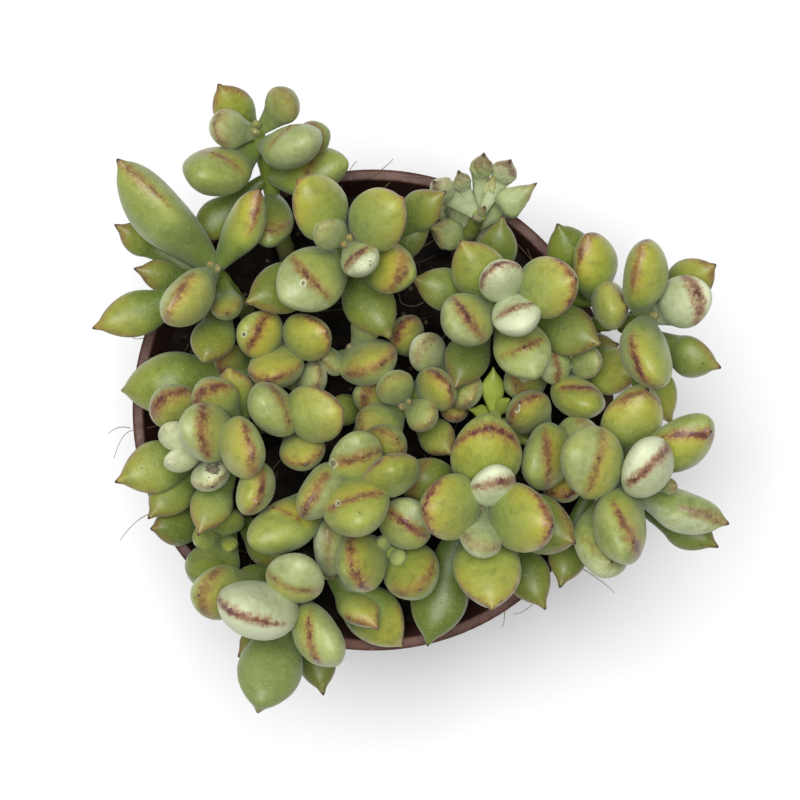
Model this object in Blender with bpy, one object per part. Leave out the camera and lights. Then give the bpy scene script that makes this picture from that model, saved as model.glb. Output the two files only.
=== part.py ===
"""Potted cotyledon: a round pot of soil with a dense clump of fat-leaved stems.

Each stem carries opposite pairs of leaves, and stem and leaves are one solid. The plan
below says where each leaf is seen from the eye point above the pot. The heights, the
slopes and the turns of the leaves follow from that by a rule, and leaves that would meet
are then bent clear of each other.
"""

import math

import bmesh
import bpy
import numpy as np

# Pot and soil, in metres. The origin is at the centre of the pot's base.
RIM_RADIUS = 0.060
POT_HEIGHT = 0.095
BASE_RADIUS = 0.0425
WALL = 0.0016
LIP_WIDTH = 0.0028
LIP_DEPTH = 0.0042
FLOOR = 0.0022
DRAIN_HOLES = 6
DRAIN_RING = 0.030
DRAIN_RADIUS = 0.0035
POT_SIDES = 40
SOIL_TOP = 0.083
SOIL_SIDES = 36
HOLE_SIDES = 8
CLEAR = 0.0003

# Stems and leaves, in metres
STEM_RADIUS = 0.0023
STEM_TIP_RADIUS = 0.0015
STEM_SIDES = 6
STEM_DEPTH = 0.012
STALK_RADIUS = 0.0016
PAIR_DROPS = (0.0015, 0.0050, 0.0095, 0.0145, 0.0195)
LEAF_RATIO = 1.5
THICK_RATIO = 0.70
BLADE_MIDDLE = 0.50
BLADE_HALF = 0.455
STALK_END = 0.26
STALK_WIDTH = 0.24
WIDEST = 0.50
LOWEST_SLOPES = (62, 60, 43, 28, 18)
LEAF_SIDES = 8
SMALL_LEAF_SIDES = 6
SMALL_LEAF = 0.0100
LEAF_RINGS = (0, 0.12, 0.46, 0.82, 1)
LONG_LEAF_RINGS = (0, 0.03, 0.14, 0.46, 0.82, 1)
LONG_STALK = 0.0020
LEAF_GAP = 0.0005
PRESS = 0.45
SETTLE_ROUNDS = 160

# The eye point that the plan was read from: its place beside the pot's axis, and its
# height above the rim. A thing at height z above the rim is seen moved out from it.
EYE = (0.0067, 0.0025)
EYE_HEIGHT = 0.500

# The plan, in millimetres from the pot's axis. Each stem has its crown (x, y as seen,
# height above the rim), its root (x, y in the soil), and its pairs of leaves, youngest
# first. Each leaf has the middle of its blade (x, y as seen) and its width, then the
# heading of its broad edge in degrees where that isn't square to the leaf, then the
# slope in degrees and the length for its width where these aren't the rule's.
MM = 0.001
SHOOTS = {
    "back_left": ((-29, 70, 26), (-21, 36), (
        ((-35.5, 70, 9.5), (-23, 75.5, 9)),
        ((-20.5, 66.5, 14, 22), (-38.5, 60.5, 15, -12)),
        ((-34.5, 74.5, 10), (-15.5, 66.5, 9)),
        ((-16.5, 61, 14, 35, None, 1.5), (-39, 48, 9.5, None, 8)),
        ((-25.5, 47.5, 11, None, 40, 1.7),),
    )),
    "left_tall": ((-39.5, 35.5, 24), (-30.5, 22.5), (
        ((-33, 46, 12, 80, 34, 1.75), (-46.5, 28.5, 14.5, 60)),
        ((-50.5, 51.3, 18, -50, 24, 1.8), (-36.5, 26.5, 8)),
        ((-59, 24, 11, None, 12, 1.75), (-39, 18, 10.5)),
        ((-52.5, 33.5, 8), (-58, 42.5, 8)),
    )),
    "left_yellow": ((-23, 17.5, 12), (-22, 16), (
        ((-29, 19, 12, 60), (-16, 18.5, 12.5, -50)),
        ((-22.5, 10.5, 13.5),),
    )),
    "back_middle": ((-6.5, 42, 33), (-7, 30), (
        ((-10, 45, 8.5), (-3.5, 38, 9.5)),
        ((-14, 48.5, 14, 60), (1.5, 47.5, 14.5, -60)),
        ((-15, 33, 15.5, -45), (3.5, 35.5, 12, 75)),
        ((-22.5, 30.5, 12.5, -50), (12, 49.5, 9.5)),
        ((-1, 26.5, 12.5, 20), (6.5, 42.5, 10.5)),
    )),
    "middle_shade": ((-5, 15, 6), (-5, 13.5), (
        ((-2, 19, 7.5), (-10.5, 10, 8)),
        ((-2, 12, 14.5, 22),),
    )),
    "back_crinkled": ((26.5, 48.5, 12), (22, 40), (
        ((17.5, 54.5, 7), (22.3, 56.5, 4.5, None, None, 2)),
        ((27, 60, 5.5, None, None, 2), (32.5, 59, 6.5)),
        ((28.5, 54, 6.5), (35.5, 52.5, 7.5, None, None, 1.7)),
        ((22.5, 50.3, 8.5), (19, 43.8, 8)),
        ((18, 49.5, 5), (27, 43.5, 6)),
    )),
    "back_right": ((33.8, 28.2, 28), (25.5, 22.5), (
        ((32.2, 31.7, 11), (35.5, 24.3, 11.5)),
        ((24, 23, 13.5, -52), (43.5, 30.5, 14.5, -75)),
        ((37, 15.5, 13.5, 20), (26.5, 34.5, 13, 15)),
        ((17.5, 30, 10.5, 75), (49, 21, 12)),
        ((23, 13, 11), (31, 40, 9.5)),
    )),
    "right_low": ((49, 12, 11), (36, 8), (
        ((45.5, 12, 8.5, 90), (52.5, 12, 8.5, 90)),
        ((50.5, 3, 13, -18),),
        ((58.5, 10.5, 12, 75), (38, 7, 10.5)),
        ((55.5, 16, 8.5),),
    )),
    "right_back": ((57, 27.5, 17), (38, 27), (
        ((54.5, 36, 13, 68, 45), (59, 23, 12, 100, 58)),
        ((49, 38.5, 12, 35, 40),),
    )),
    "right_far": ((69, 23, 27), (46, 20), (
        ((62.5, 31.5, 14.5, 75, 56), (69, 14.5, 15.5, -60, 58)),
        ((77.5, 27, 12.5, -75),),
        ((78.5, 32, 10.5), (69, 4, 10.5, None, 0)),
        ((79, 13.5, 11, -50, None, 1.25),),
    )),
    "right_front": ((68, -20, 28), (45, -13), (
        ((67.5, -14, 14.5, 50), (73.5, -19, 4)),
        ((62.5, -28.5, 16.5, -70), (54, -13, 17, 80)),
        ((75.5, -8, 15.5, 15), (52.5, -31, 14.5, -35)),
        ((77, -24, 14.5, -20), (64, -1, 14.5, 25)),
        ((78, -29.5, 10), (48, -36, 9.5)),
    )),
    "right_inner": ((45.5, -7.5, 12), (37, -3), (
        ((43, -12, 15.5, 85), (50.5, -6, 11)),
        ((39, 0, 12), (47, -17.5, 10.5)),
    )),
    "front_middle": ((28, -24.5, 31), (24, -17.5), (
        ((29.5, -18.5, 11, 15), (27, -31, 10.5, -20)),
        ((19, -24, 15.5, 85), (37, -26.5, 16, -80)),
        ((28, -11, 16.5, 0), (28.5, -38.5, 16, 0)),
        ((14.5, -17.5, 12, 60), (43.5, -27, 14, -85)),
        ((39, -40.5, 11), (15, -46, 14, 10)),
    )),
    "front_twins": ((4.5, -35.5, 20), (6.5, -27.5), (
        ((2.5, -33.5, 4.5), (6, -36.5, 4.5)),
        ((8.5, -27.5, 13.5, -38), (-4, -37, 14.5, -70)),
        ((10.5, -40.5, 14),),
    )),
    "front_pointed": ((-11, -41, 10), (-5.5, -31), (
        ((-10.5, -34, 13.5, 90), (0.5, -51.5, 14, None, 12)),
        ((-7, -47.5, 10),),
    )),
    "middle_left": ((-5.5, -17.5, 27), (-5.5, -10), (
        ((-5, -21.5, 16, 20),),
        ((-6.5, -13, 13, 20), (9, -15, 14, 15), (-17, -14.5, 13.5, 50)),
        ((-21.5, -28, 15.5, 10), (3.5, -7.5, 11)),
    )),
    "left_inner_top": ((-34.5, -7, 24), (-27.5, -3.5), (
        ((-39.5, -4, 14, -78), (-29, -5.5, 14.5, -80)),
        ((-38.5, 1.5, 11), (-28.5, -21, 12.5, 75)),
        ((-34.5, 4, 9.5), (-40.5, -22.5, 10)),
    )),
    "left_inner_bright": ((-20, -1, 20), (-18, 2.5), (
        ((-24.5, -1.5, 14, -55), (-15.5, -0.5, 14.5, -60)),
        ((-18, -10, 11),),
    )),
    "left_front": ((-42.5, -9.5, 20), (-36, -7.5), (
        ((-48.5, -6.5, 8.5, 20), (-47.5, -11, 8.5, 30)),
        ((-48.5, 0, 12), (-41, -17, 10, 25)),
        ((-54, -14.5, 12.5, None, 20),),
        ((-50, -20, 10.5),),
    )),
    "left_spoon": ((-27.5, 9.5, 6), (-24.5, 9.5), (
        ((-50, 6.5, 16, 90, 5), (-15.5, 5.5, 9.5)),
        ((-35, 12, 8.5), (-27.5, 3.5, 9.5)),
    )),
    "left_spotted": ((-37.5, -30, 7), (-31, -24.5), (
        ((-41.5, -31.5, 6.5), (-36, -33.5, 4.5)),
        ((-36.5, -27, 9, 0), (-38.5, -39, 13)),
        ((-48, -28.5, 10.5), (-27, -34, 10.5)),
    )),
    "front_left": ((-21.5, -48, 24), (-17, -37.5), (
        ((-28.5, -48.5, 18, -22), (-19.5, -40.5, 14, -15)),
        ((-13, -55.5, 15, -65), (-36.5, -45.5, 13, None, None, 1.75)),
        ((-25.5, -64, 15.5),),
        ((-30.5, -57.5, 5), (-25.5, -58.5, 4)),
        ((-14, -62.5, 9.5), (-30, -42, 9.5)),
    )),
    "middle": ((8, 1.5, 10), (6.5, 2.5), (
        ((5.5, 5.5, 9.5), (12, -1, 8.5)),
        ((16, 6.5, 11.5), (2.5, -4, 12)),
        ((1, 4.5, 10), (16, -6, 9)),
        ((-1.5, -7, 9), (-7, 0, 8)),
    )),
    "middle_back": ((19, 9, 4), (20, 10), (
        ((14, 12.5, 10), (24, 5.5, 9.5)),
        ((7.5, 17.5, 10), (20, 0, 7)),
    )),
    "sprout": ((30.3, -1.5, 9), (30.3, -0.5), (
        ((29, 5.2, 5.8, None, 25, 1.8), (32.5, 1.2, 4, None, 50, 1.8)),
        ((27, -0.5, 3.8, None, 40, 1.6), (36, -6, 4.5, None, 20, 1.9)),
    )),
}

LEAF_COLOUR = (0.30, 0.42, 0.14)
YOUNG_COLOUR = (0.50, 0.60, 0.40)
SPROUT_COLOUR = (0.36, 0.46, 0.08)
POT_COLOUR = (0.055, 0.028, 0.024)
SOIL_COLOUR = (0.020, 0.014, 0.010)


def clear_scene():
    for item in list(bpy.data.objects):
        bpy.data.objects.remove(item)


def principled(name, colour, roughness):
    """A plain material of one colour."""
    material = bpy.data.materials.new(name)
    material.use_nodes = True
    shader = material.node_tree.nodes["Principled BSDF"]
    shader.inputs["Base Color"].default_value = (*colour, 1)
    shader.inputs["Roughness"].default_value = roughness
    return material


def new_object(name, shape, material):
    """Turns a bmesh into an object in the scene."""
    mesh = bpy.data.meshes.new(name)
    shape.to_mesh(mesh)
    shape.free()
    mesh.shade_smooth()
    mesh.set_sharp_from_angle(angle=math.radians(40))
    mesh.materials.append(material)
    made = bpy.data.objects.new(name, mesh)
    bpy.context.scene.collection.objects.link(made)
    return made


def unit(vector):
    return vector / max(np.linalg.norm(vector), 1e-12)


def from_plan(x, y, height):
    """The true x, y of a thing that the eye sees at x, y on the rim's level."""
    nearer = (EYE_HEIGHT - height) / EYE_HEIGHT
    return np.array([EYE[0] + (x - EYE[0]) * nearer, EYE[1] + (y - EYE[1]) * nearer])


class Stem:
    """A stem's middle line: upright in the soil, then an even curve to its crown."""

    STEPS = 6

    def __init__(self, crown, root):
        top = crown[2] * MM
        self.foot = np.array([root[0] * MM, root[1] * MM, SOIL_TOP])
        self.crown = np.array([*from_plan(crown[0] * MM, crown[1] * MM, top), POT_HEIGHT + top])
        rise = self.crown[2] - self.foot[2]
        pull = np.array([0, 0, rise * 0.45])
        away = np.linalg.norm((self.crown - self.foot)[:2])
        lean = unit(self.crown - self.foot + np.array([0, 0, 0.45 * rise - 0.6 * away]))
        self.bends = (self.foot, self.foot + pull, self.crown - lean * rise * 0.35, self.crown)

    def at(self, share):
        a, b, c, d = self.bends
        rest = 1 - share
        return (
            a * rest**3 + b * 3 * rest**2 * share + c * 3 * rest * share**2 + d * share**3
        )

    def below_crown(self, drop):
        """The point a little way down the stem from its crown."""
        length = np.linalg.norm(self.crown - self.foot)
        return self.at(max(0.12, 1 - drop / length))

    def line(self):
        start = self.foot - np.array([0, 0, STEM_DEPTH - CLEAR])
        return [start] + [self.at(step / self.STEPS) for step in range(self.STEPS + 1)]

    def radius(self, step):
        share = max(0, step - 1) / self.STEPS
        return STEM_RADIUS + (STEM_TIP_RADIUS - STEM_RADIUS) * share


class Leaf:
    """A leaf: where its blade starts, where it points, and its broad side's heading."""

    def __init__(self, shoot, stem, pair, row):
        x, y, width, heading, slope, ratio = (*row, None, None, None)[:6]
        self.shoot, self.pair = shoot, pair
        self.joint = stem.below_crown(PAIR_DROPS[pair])
        self.width = width * MM
        self.length = self.width * (ratio or LEAF_RATIO)
        self.thick = self.width * THICK_RATIO
        lowest = math.radians(LOWEST_SLOPES[pair] if slope is None else slope)
        reach = BLADE_MIDDLE * self.length
        self.base = self.joint.copy()
        rise = reach * math.sin(lowest)
        for _ in range(4):
            away = from_plan(x * MM, y * MM, self.joint[2] + rise - POT_HEIGHT) - self.joint[:2]
            across = np.linalg.norm(away)
            flat = min(across, reach * math.cos(lowest))
            rise = math.sqrt(reach**2 - flat**2)
        away = away / max(across, 1e-9)
        self.base[:2] += away * (across - flat)
        self.along = unit(np.array([*(away * flat), rise]))
        if heading is None:
            broad = np.array([-away[1], away[0], 0])
        else:
            broad = np.array(
                [math.cos(math.radians(heading)), math.sin(math.radians(heading)), 0]
            )
        self.broad = unit(broad - (broad @ self.along) * self.along)

    @property
    def middle(self):
        return self.base + self.along * self.length * BLADE_MIDDLE

    def axes(self):
        """Rows: the broad side, the upper side and the leaf's own direction."""
        return np.array([self.broad, np.cross(self.along, self.broad), self.along])

    def turn(self, spin):
        """Turns the leaf about its base by a small rotation vector."""
        self.along = unit(self.along + np.cross(spin, self.along))
        broad = self.broad + np.cross(spin, self.broad)
        self.broad = unit(broad - (broad @ self.along) * self.along)


def all_leaves():
    """Every stem by name, and every leaf."""
    stems = {name: Stem(crown, root) for name, (crown, root, _) in SHOOTS.items()}
    leaves = [
        Leaf(name, stems[name], pair, row)
        for name, (_, _, pairs) in SHOOTS.items()
        for pair, rows in enumerate(pairs)
        for row in rows
    ]
    return stems, leaves


def sphere_points():
    """Points spread over a unit ball, which stand for a blade's skin."""
    points = []
    for band, count in ((-60, 5), (-20, 8), (20, 8), (55, 7), (90, 1)):
        for step in range(count):
            turn = 2 * math.pi * (step + 0.5 * (band > 0)) / count
            flat = math.cos(math.radians(band))
            points.append(
                (flat * math.cos(turn), flat * math.sin(turn), math.sin(math.radians(band)))
            )
    return np.array(points)


def fixed_points(stems, leaves):
    """Balls that no leaf may enter: the stems, the leaf stalks and the pot's rim."""
    balls = []
    for name, stem in stems.items():
        for step in range(25):
            balls.append((*stem.at(step / 24), STEM_RADIUS, name))
    for leaf in leaves:
        for step in range(1, 5):
            point = leaf.joint + (leaf.base - leaf.joint) * step / 4
            balls.append((*point, STALK_RADIUS, leaf.shoot))
    for step in range(90):
        turn = 2 * math.pi * step / 90
        for inward, down in ((0.001, 0.001), (0.003, 0.006)):
            ring = RIM_RADIUS - inward
            place = (ring * math.cos(turn), ring * math.sin(turn), POT_HEIGHT - down)
            balls.append((*place, 0.0018, ""))
    return balls


def push_out(points, radii, leaf_axes, middle, half, gap):
    """How far each point must move to leave a blade, and in which direction."""
    size = half[:, None, :] + gap[..., None] + radii[..., None]
    local = np.einsum("pki,pji->pkj", points - middle[:, None, :], leaf_axes)
    scaled = local / size
    reach = np.linalg.norm(scaled, axis=2)
    slope = scaled / size
    steep = np.linalg.norm(slope, axis=2)
    depth = np.where(reach < 1, reach * (1 - reach) / np.maximum(steep, 1e-9), 0)
    # Near the middle of a blade the short way out is through its flat side.
    depth = np.minimum(np.maximum(depth, np.where(reach < 0.3, 0.002, 0)), 0.003)
    outward = np.einsum("pkj,pji->pki", slope / np.maximum(steep, 1e-9)[..., None], leaf_axes)
    return depth, outward


def settle(stems, leaves):
    """Turns the leaves about their bases until none enters another, a stem or the rim."""
    skin = sphere_points()
    balls = fixed_points(stems, leaves)
    spots = np.array([ball[:3] for ball in balls])
    fat = np.array([ball[3] for ball in balls])
    owner = np.array([ball[4] for ball in balls])
    shoot = np.array([leaf.shoot for leaf in leaves])
    length = np.array([leaf.length for leaf in leaves])
    half = np.array([(leaf.width / 2, leaf.thick / 2, leaf.length * BLADE_HALF) for leaf in leaves])
    for _ in range(SETTLE_ROUNDS):
        base = np.array([leaf.base for leaf in leaves])
        middle = np.array([leaf.middle for leaf in leaves])
        axes = np.array([leaf.axes() for leaf in leaves])
        spin = np.zeros((len(leaves), 3))
        # Leaf against leaf
        apart = np.linalg.norm(middle[:, None] - middle[None], axis=2)
        near = apart < BLADE_HALF * (length[:, None] + length[None]) + 0.001
        first, second = np.nonzero(near & ~np.eye(len(leaves), dtype=bool))
        points = middle[first][:, None] + np.einsum(
            "pkj,pji->pki", skin[None] * half[first][:, None], axes[first]
        )
        same = shoot[first] == shoot[second]
        gap = np.where(same, -PRESS * half[second, 1], LEAF_GAP)
        gap = np.repeat(gap[:, None], len(skin), axis=1)
        depth, outward = push_out(
            points, np.zeros_like(gap), axes[second], middle[second], half[second], gap
        )
        worst = depth.argmax(axis=1)
        row = np.arange(len(first))
        push = outward[row, worst] * depth[row, worst][:, None] * 0.5
        contact = points[row, worst]
        for mover, sign in ((first, 1), (second, -1)):
            arm = contact - base[mover]
            reach = np.maximum((arm**2).sum(axis=1), (0.4 * length[mover]) ** 2)
            np.add.at(spin, mover, sign * np.cross(arm, push) / reach[:, None])
        # Leaf against the fixed balls
        apart = np.linalg.norm(middle[:, None] - spots[None], axis=2)
        near = (apart < 0.5 * length[:, None] + 0.004) & (shoot[:, None] != owner[None])
        mover, ball = np.nonzero(near)
        depth, outward = push_out(
            spots[ball][:, None],
            fat[ball][:, None],
            axes[mover],
            middle[mover],
            half[mover],
            np.full((len(mover), 1), LEAF_GAP),
        )
        push = -outward[:, 0] * depth * 0.6
        arm = spots[ball] - base[mover]
        reach = np.maximum((arm**2).sum(axis=1), (0.4 * length[mover]) ** 2)
        np.add.at(spin, mover, np.cross(arm, push) / reach[:, None])
        # Leaf above the soil
        low = middle[:, 2] - 0.5 * length * np.abs(axes[:, 2, 2]) - half[:, 1] - SOIL_TOP
        for number in np.nonzero(low < 0.001)[0]:
            up = np.array([0, 0, 0.001])
            arm = middle[number] - base[number]
            spin[number] += np.cross(arm, up) / (arm @ arm)
        for leaf, turn in zip(leaves, spin):
            size = np.linalg.norm(turn)
            leaf.turn(turn * min(1, 0.06 / max(size, 1e-9)))


def leaf_outline(share):
    """Half the width of a leaf at a share of its length, as a part of the widest."""
    if share > WIDEST:
        return max(0.0, 1 - ((share - WIDEST) / (1 - WIDEST)) ** 1.85) ** 0.76
    grown = math.sin(math.pi / 2 * (share / WIDEST) ** 0.9)
    return STALK_WIDTH + (1 - STALK_WIDTH) * grown


def shape_leaf(leaf, shape):
    """Adds one leaf to a bmesh: a ball drawn out into a fat, blunt, edged leaf."""
    sides = LEAF_SIDES if leaf.width > SMALL_LEAF else SMALL_LEAF_SIDES
    stalk = leaf.joint - leaf.base
    rings = LONG_LEAF_RINGS if np.linalg.norm(stalk) > LONG_STALK else LEAF_RINGS
    made = bmesh.ops.create_uvsphere(
        shape, u_segments=sides, v_segments=len(rings) - 1, radius=1
    )["verts"]
    axes = leaf.axes()
    for vert in made:
        x, y, z = vert.co
        share = rings[round(math.acos(-z) / math.pi * (len(rings) - 1))]
        turn = math.atan2(y, x)
        flat = leaf_outline(share) if 0 < share < 1 else 0
        # The edge sharpens towards the end, and the underside is fuller.
        edged = 1 + 0.6 * min(1, max(0, (share - 0.45) / 0.5))
        lift = math.copysign(abs(math.sin(turn)) ** edged, math.sin(turn))
        lift *= 0.9 if lift > 0 else 1.1
        place = leaf.base + stalk * max(0, 1 - share / STALK_END) ** 2
        place = place + axes[0] * math.cos(turn) * flat * leaf.width / 2
        place = place + axes[1] * lift * flat * leaf.thick / 2
        vert.co = place + axes[2] * share * leaf.length


def tube(shape, line, radii, sides):
    """Adds a closed tube along a line of points to a bmesh."""
    rings = []
    for step, (point, radius) in enumerate(zip(line, radii)):
        ahead = unit(line[min(step + 1, len(line) - 1)] - line[max(step - 1, 0)])
        side = unit(np.cross(ahead, (1, 0, 0) if abs(ahead[0]) < 0.8 else (0, 1, 0)))
        other = np.cross(ahead, side)
        ring = []
        for number in range(sides):
            turn = 2 * math.pi * number / sides
            spot = point + (side * math.cos(turn) + other * math.sin(turn)) * radius
            ring.append(shape.verts.new(spot))
        rings.append(ring)
    for low, high in zip(rings, rings[1:]):
        for number in range(sides):
            following = (number + 1) % sides
            shape.faces.new((low[number], low[following], high[following], high[number]))
    shape.faces.new(rings[0][::-1])
    shape.faces.new(rings[-1])


def join(target, others):
    """One Boolean union of a stem and its leaves, applied."""
    group = bpy.data.collections.new(target.name + "_parts")
    bpy.context.scene.collection.children.link(group)
    for other in others:
        bpy.context.scene.collection.objects.unlink(other)
        group.objects.link(other)
    union = target.modifiers.new("Union", "BOOLEAN")
    union.operation = "UNION"
    union.operand_type = "COLLECTION"
    union.collection = group
    union.solver = "EXACT"
    bpy.context.view_layer.update()
    graph = bpy.context.evaluated_depsgraph_get()
    joined = bpy.data.meshes.new_from_object(target.evaluated_get(graph))
    target.modifiers.clear()
    target.data = joined
    for other in others:
        bpy.data.objects.remove(other)
    bpy.data.collections.remove(group)


def build_shoot(name, stem, leaves, material):
    """One leafy stem: the stem and its leaves, joined."""
    shape = bmesh.new()
    line = stem.line()
    tube(shape, line, [stem.radius(step) for step in range(len(line))], STEM_SIDES)
    bmesh.ops.recalc_face_normals(shape, faces=shape.faces)
    target = new_object("shoot_" + name, shape, material)
    others = []
    for number, leaf in enumerate(leaves):
        shape = bmesh.new()
        shape_leaf(leaf, shape)
        bmesh.ops.recalc_face_normals(shape, faces=shape.faces)
        others.append(new_object(f"{name}_leaf_{number}", shape, material))
    join(target, others)
    target.data.shade_smooth()
    return target


def wall_radius(height):
    """The pot's outer radius below its lip, at a height."""
    top = RIM_RADIUS - LIP_WIDTH + WALL
    return BASE_RADIUS + (top - BASE_RADIUS) * height / POT_HEIGHT


def turned(profile, sides):
    """A closed body turned about the Z axis from a profile that ends on it."""
    shape = bmesh.new()
    verts = [shape.verts.new((radius, 0, height)) for radius, height in profile]
    edges = [shape.edges.new(pair) for pair in zip(verts, verts[1:])]
    bmesh.ops.spin(
        shape,
        geom=verts + edges,
        axis=(0, 0, 1),
        cent=(0, 0, 0),
        steps=sides,
        angle=2 * math.pi,
    )
    bmesh.ops.remove_doubles(shape, verts=shape.verts, dist=1e-6)
    bmesh.ops.recalc_face_normals(shape, faces=shape.faces)
    return shape


def cutter(name, x, y, radius, low, high, sides):
    """An upright round cutter."""
    shape = bmesh.new()
    bmesh.ops.create_cone(
        shape, cap_ends=True, segments=sides, radius1=radius, radius2=radius, depth=high - low
    )
    mesh = bpy.data.meshes.new(name)
    shape.to_mesh(mesh)
    shape.free()
    made = bpy.data.objects.new(name, mesh)
    made.location = (x, y, (high + low) / 2)
    made.hide_render = True
    made.display_type = "WIRE"
    bpy.context.scene.collection.objects.link(made)
    return made


def cut_all(target, cutters):
    """Cuts a list of cutters from an object and removes them."""
    group = bpy.data.collections.new(target.name + "_cutters")
    bpy.context.scene.collection.children.link(group)
    for item in cutters:
        bpy.context.scene.collection.objects.unlink(item)
        group.objects.link(item)
    cut = target.modifiers.new("Holes", "BOOLEAN")
    cut.operation = "DIFFERENCE"
    cut.operand_type = "COLLECTION"
    cut.collection = group
    cut.solver = "EXACT"
    bpy.context.view_layer.update()
    graph = bpy.context.evaluated_depsgraph_get()
    mesh = bpy.data.meshes.new_from_object(target.evaluated_get(graph))
    target.modifiers.clear()
    target.data = mesh
    for item in cutters:
        bpy.data.objects.remove(item)
    bpy.data.collections.remove(group)


def build_pot():
    """The pot: a thin tapering wall with a rolled lip, a floor and drainage holes."""
    lip_low = POT_HEIGHT - LIP_DEPTH
    inner_top = RIM_RADIUS - LIP_WIDTH
    profile = [
        (0, 0),
        (BASE_RADIUS - 0.001, 0),
        (BASE_RADIUS, 0.001),
        (wall_radius(lip_low), lip_low),
        (RIM_RADIUS, lip_low),
        (RIM_RADIUS, POT_HEIGHT - 0.0010),
        (RIM_RADIUS - 0.0008, POT_HEIGHT),
        (inner_top, POT_HEIGHT),
        (wall_radius(FLOOR) - WALL, FLOOR),
        (0, FLOOR),
    ]
    pot = new_object(
        "pot", turned(profile, POT_SIDES), principled("pot plastic", POT_COLOUR, 0.42)
    )
    holes = []
    for number in range(DRAIN_HOLES):
        turn = 2 * math.pi * (number + 0.5) / DRAIN_HOLES
        x, y = DRAIN_RING * math.cos(turn), DRAIN_RING * math.sin(turn)
        holes.append(cutter(f"drain_{number}", x, y, DRAIN_RADIUS, -0.002, 0.006, 16))
    cut_all(pot, holes)
    return pot


def build_soil(stems):
    """The soil: it fills the pot, and each stem stands in a plain hole."""
    low = FLOOR + CLEAR
    inner = wall_radius(SOIL_TOP) - WALL - CLEAR
    profile = [
        (0, low),
        (wall_radius(low) - WALL - CLEAR, low),
        (inner, SOIL_TOP),
        (0, SOIL_TOP),
    ]
    soil = new_object("soil", turned(profile, SOIL_SIDES), principled("soil", SOIL_COLOUR, 0.95))
    holes = []
    for name, stem in stems.items():
        x, y, top = stem.foot
        radius = (STEM_RADIUS + CLEAR) / math.cos(math.pi / HOLE_SIDES)
        low = top - STEM_DEPTH
        holes.append(cutter(f"hole_{name}", x, y, radius, low, top + 0.01, HOLE_SIDES))
    cut_all(soil, holes)
    return soil


def main():
    clear_scene()
    stems, leaves = all_leaves()
    settle(stems, leaves)
    build_pot()
    build_soil(stems)
    green = principled("leaf", LEAF_COLOUR, 0.5)
    young = principled("young leaf", YOUNG_COLOUR, 0.6)
    bright = principled("sprout leaf", SPROUT_COLOUR, 0.45)
    looks = {"back_crinkled": young, "sprout": bright}
    for name, stem in stems.items():
        own = [leaf for leaf in leaves if leaf.shoot == name]
        build_shoot(name, stem, own, looks.get(name, green))


main()
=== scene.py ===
"""Potted cotyledon: the finished look of the plant, its pot and its soil.

Each leafy stem of the frame is replaced by a fine one of the same form, placed by the same
plan and the same rule. The pot, the soil and the root fibres have a shape of their own here.
"""

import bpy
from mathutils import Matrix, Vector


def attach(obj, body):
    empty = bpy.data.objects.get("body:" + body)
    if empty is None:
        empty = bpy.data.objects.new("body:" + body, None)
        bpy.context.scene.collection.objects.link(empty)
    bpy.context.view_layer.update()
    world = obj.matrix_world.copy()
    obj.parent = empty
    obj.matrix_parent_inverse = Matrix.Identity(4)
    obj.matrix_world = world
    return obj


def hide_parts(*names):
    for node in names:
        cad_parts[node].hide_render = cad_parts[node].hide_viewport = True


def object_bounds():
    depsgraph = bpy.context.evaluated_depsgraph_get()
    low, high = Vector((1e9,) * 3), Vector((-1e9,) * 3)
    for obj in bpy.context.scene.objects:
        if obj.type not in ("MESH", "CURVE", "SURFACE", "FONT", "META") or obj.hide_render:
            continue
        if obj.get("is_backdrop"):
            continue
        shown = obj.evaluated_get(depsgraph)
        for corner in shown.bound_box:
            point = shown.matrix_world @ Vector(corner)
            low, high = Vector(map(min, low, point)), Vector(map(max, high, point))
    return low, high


bl_info = {
    "name": "Potted Cotyledon",
    "version": (1, 0, 0),
    "blender": (4, 5, 0),
    "location": "3D View > Sidebar > Cotyledon",
    "description": "Builds a potted cotyledon, its stage and its light",
    "category": "Add Mesh",
}

import math

import bmesh
import bpy
import numpy as np
from bpy.props import FloatProperty, FloatVectorProperty, IntProperty, PointerProperty
from mathutils import Vector, noise

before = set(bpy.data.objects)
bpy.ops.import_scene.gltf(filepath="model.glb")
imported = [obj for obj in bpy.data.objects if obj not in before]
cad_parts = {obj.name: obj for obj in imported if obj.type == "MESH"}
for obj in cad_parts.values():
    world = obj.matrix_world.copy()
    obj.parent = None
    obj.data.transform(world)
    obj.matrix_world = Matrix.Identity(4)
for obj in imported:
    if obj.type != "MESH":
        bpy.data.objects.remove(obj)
CAD_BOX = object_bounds()

# Pot and soil, in metres, as in the frame
RIM_RADIUS = 0.060
POT_HEIGHT = 0.095
BASE_RADIUS = 0.0425
WALL = 0.0016
LIP_WIDTH = 0.0028
LIP_DEPTH = 0.0042
FLOOR = 0.0022
DRAIN_HOLES = 6
DRAIN_RING = 0.030
DRAIN_RADIUS = 0.0035
SOIL_TOP = 0.083
CLEAR = 0.0003

# Stems and leaves, in metres, as in the frame
STEM_RADIUS = 0.0023
STEM_TIP_RADIUS = 0.0015
STEM_DEPTH = 0.012
STALK_RADIUS = 0.0016
PAIR_DROPS = (0.0015, 0.0050, 0.0095, 0.0145, 0.0195)
LEAF_RATIO = 1.5
THICK_RATIO = 0.70
BLADE_MIDDLE = 0.50
BLADE_HALF = 0.455
STALK_END = 0.26
STALK_WIDTH = 0.24
WIDEST = 0.50
LOWEST_SLOPES = (62, 60, 43, 28, 18)
LEAF_GAP = 0.0005
PRESS = 0.45
SETTLE_ROUNDS = 160

# The eye point that the plan was read from: its place beside the pot's axis, and its
# height above the rim. A thing at height z above the rim is seen moved out from it.
EYE = (0.0067, 0.0025)
EYE_HEIGHT = 0.500

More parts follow.
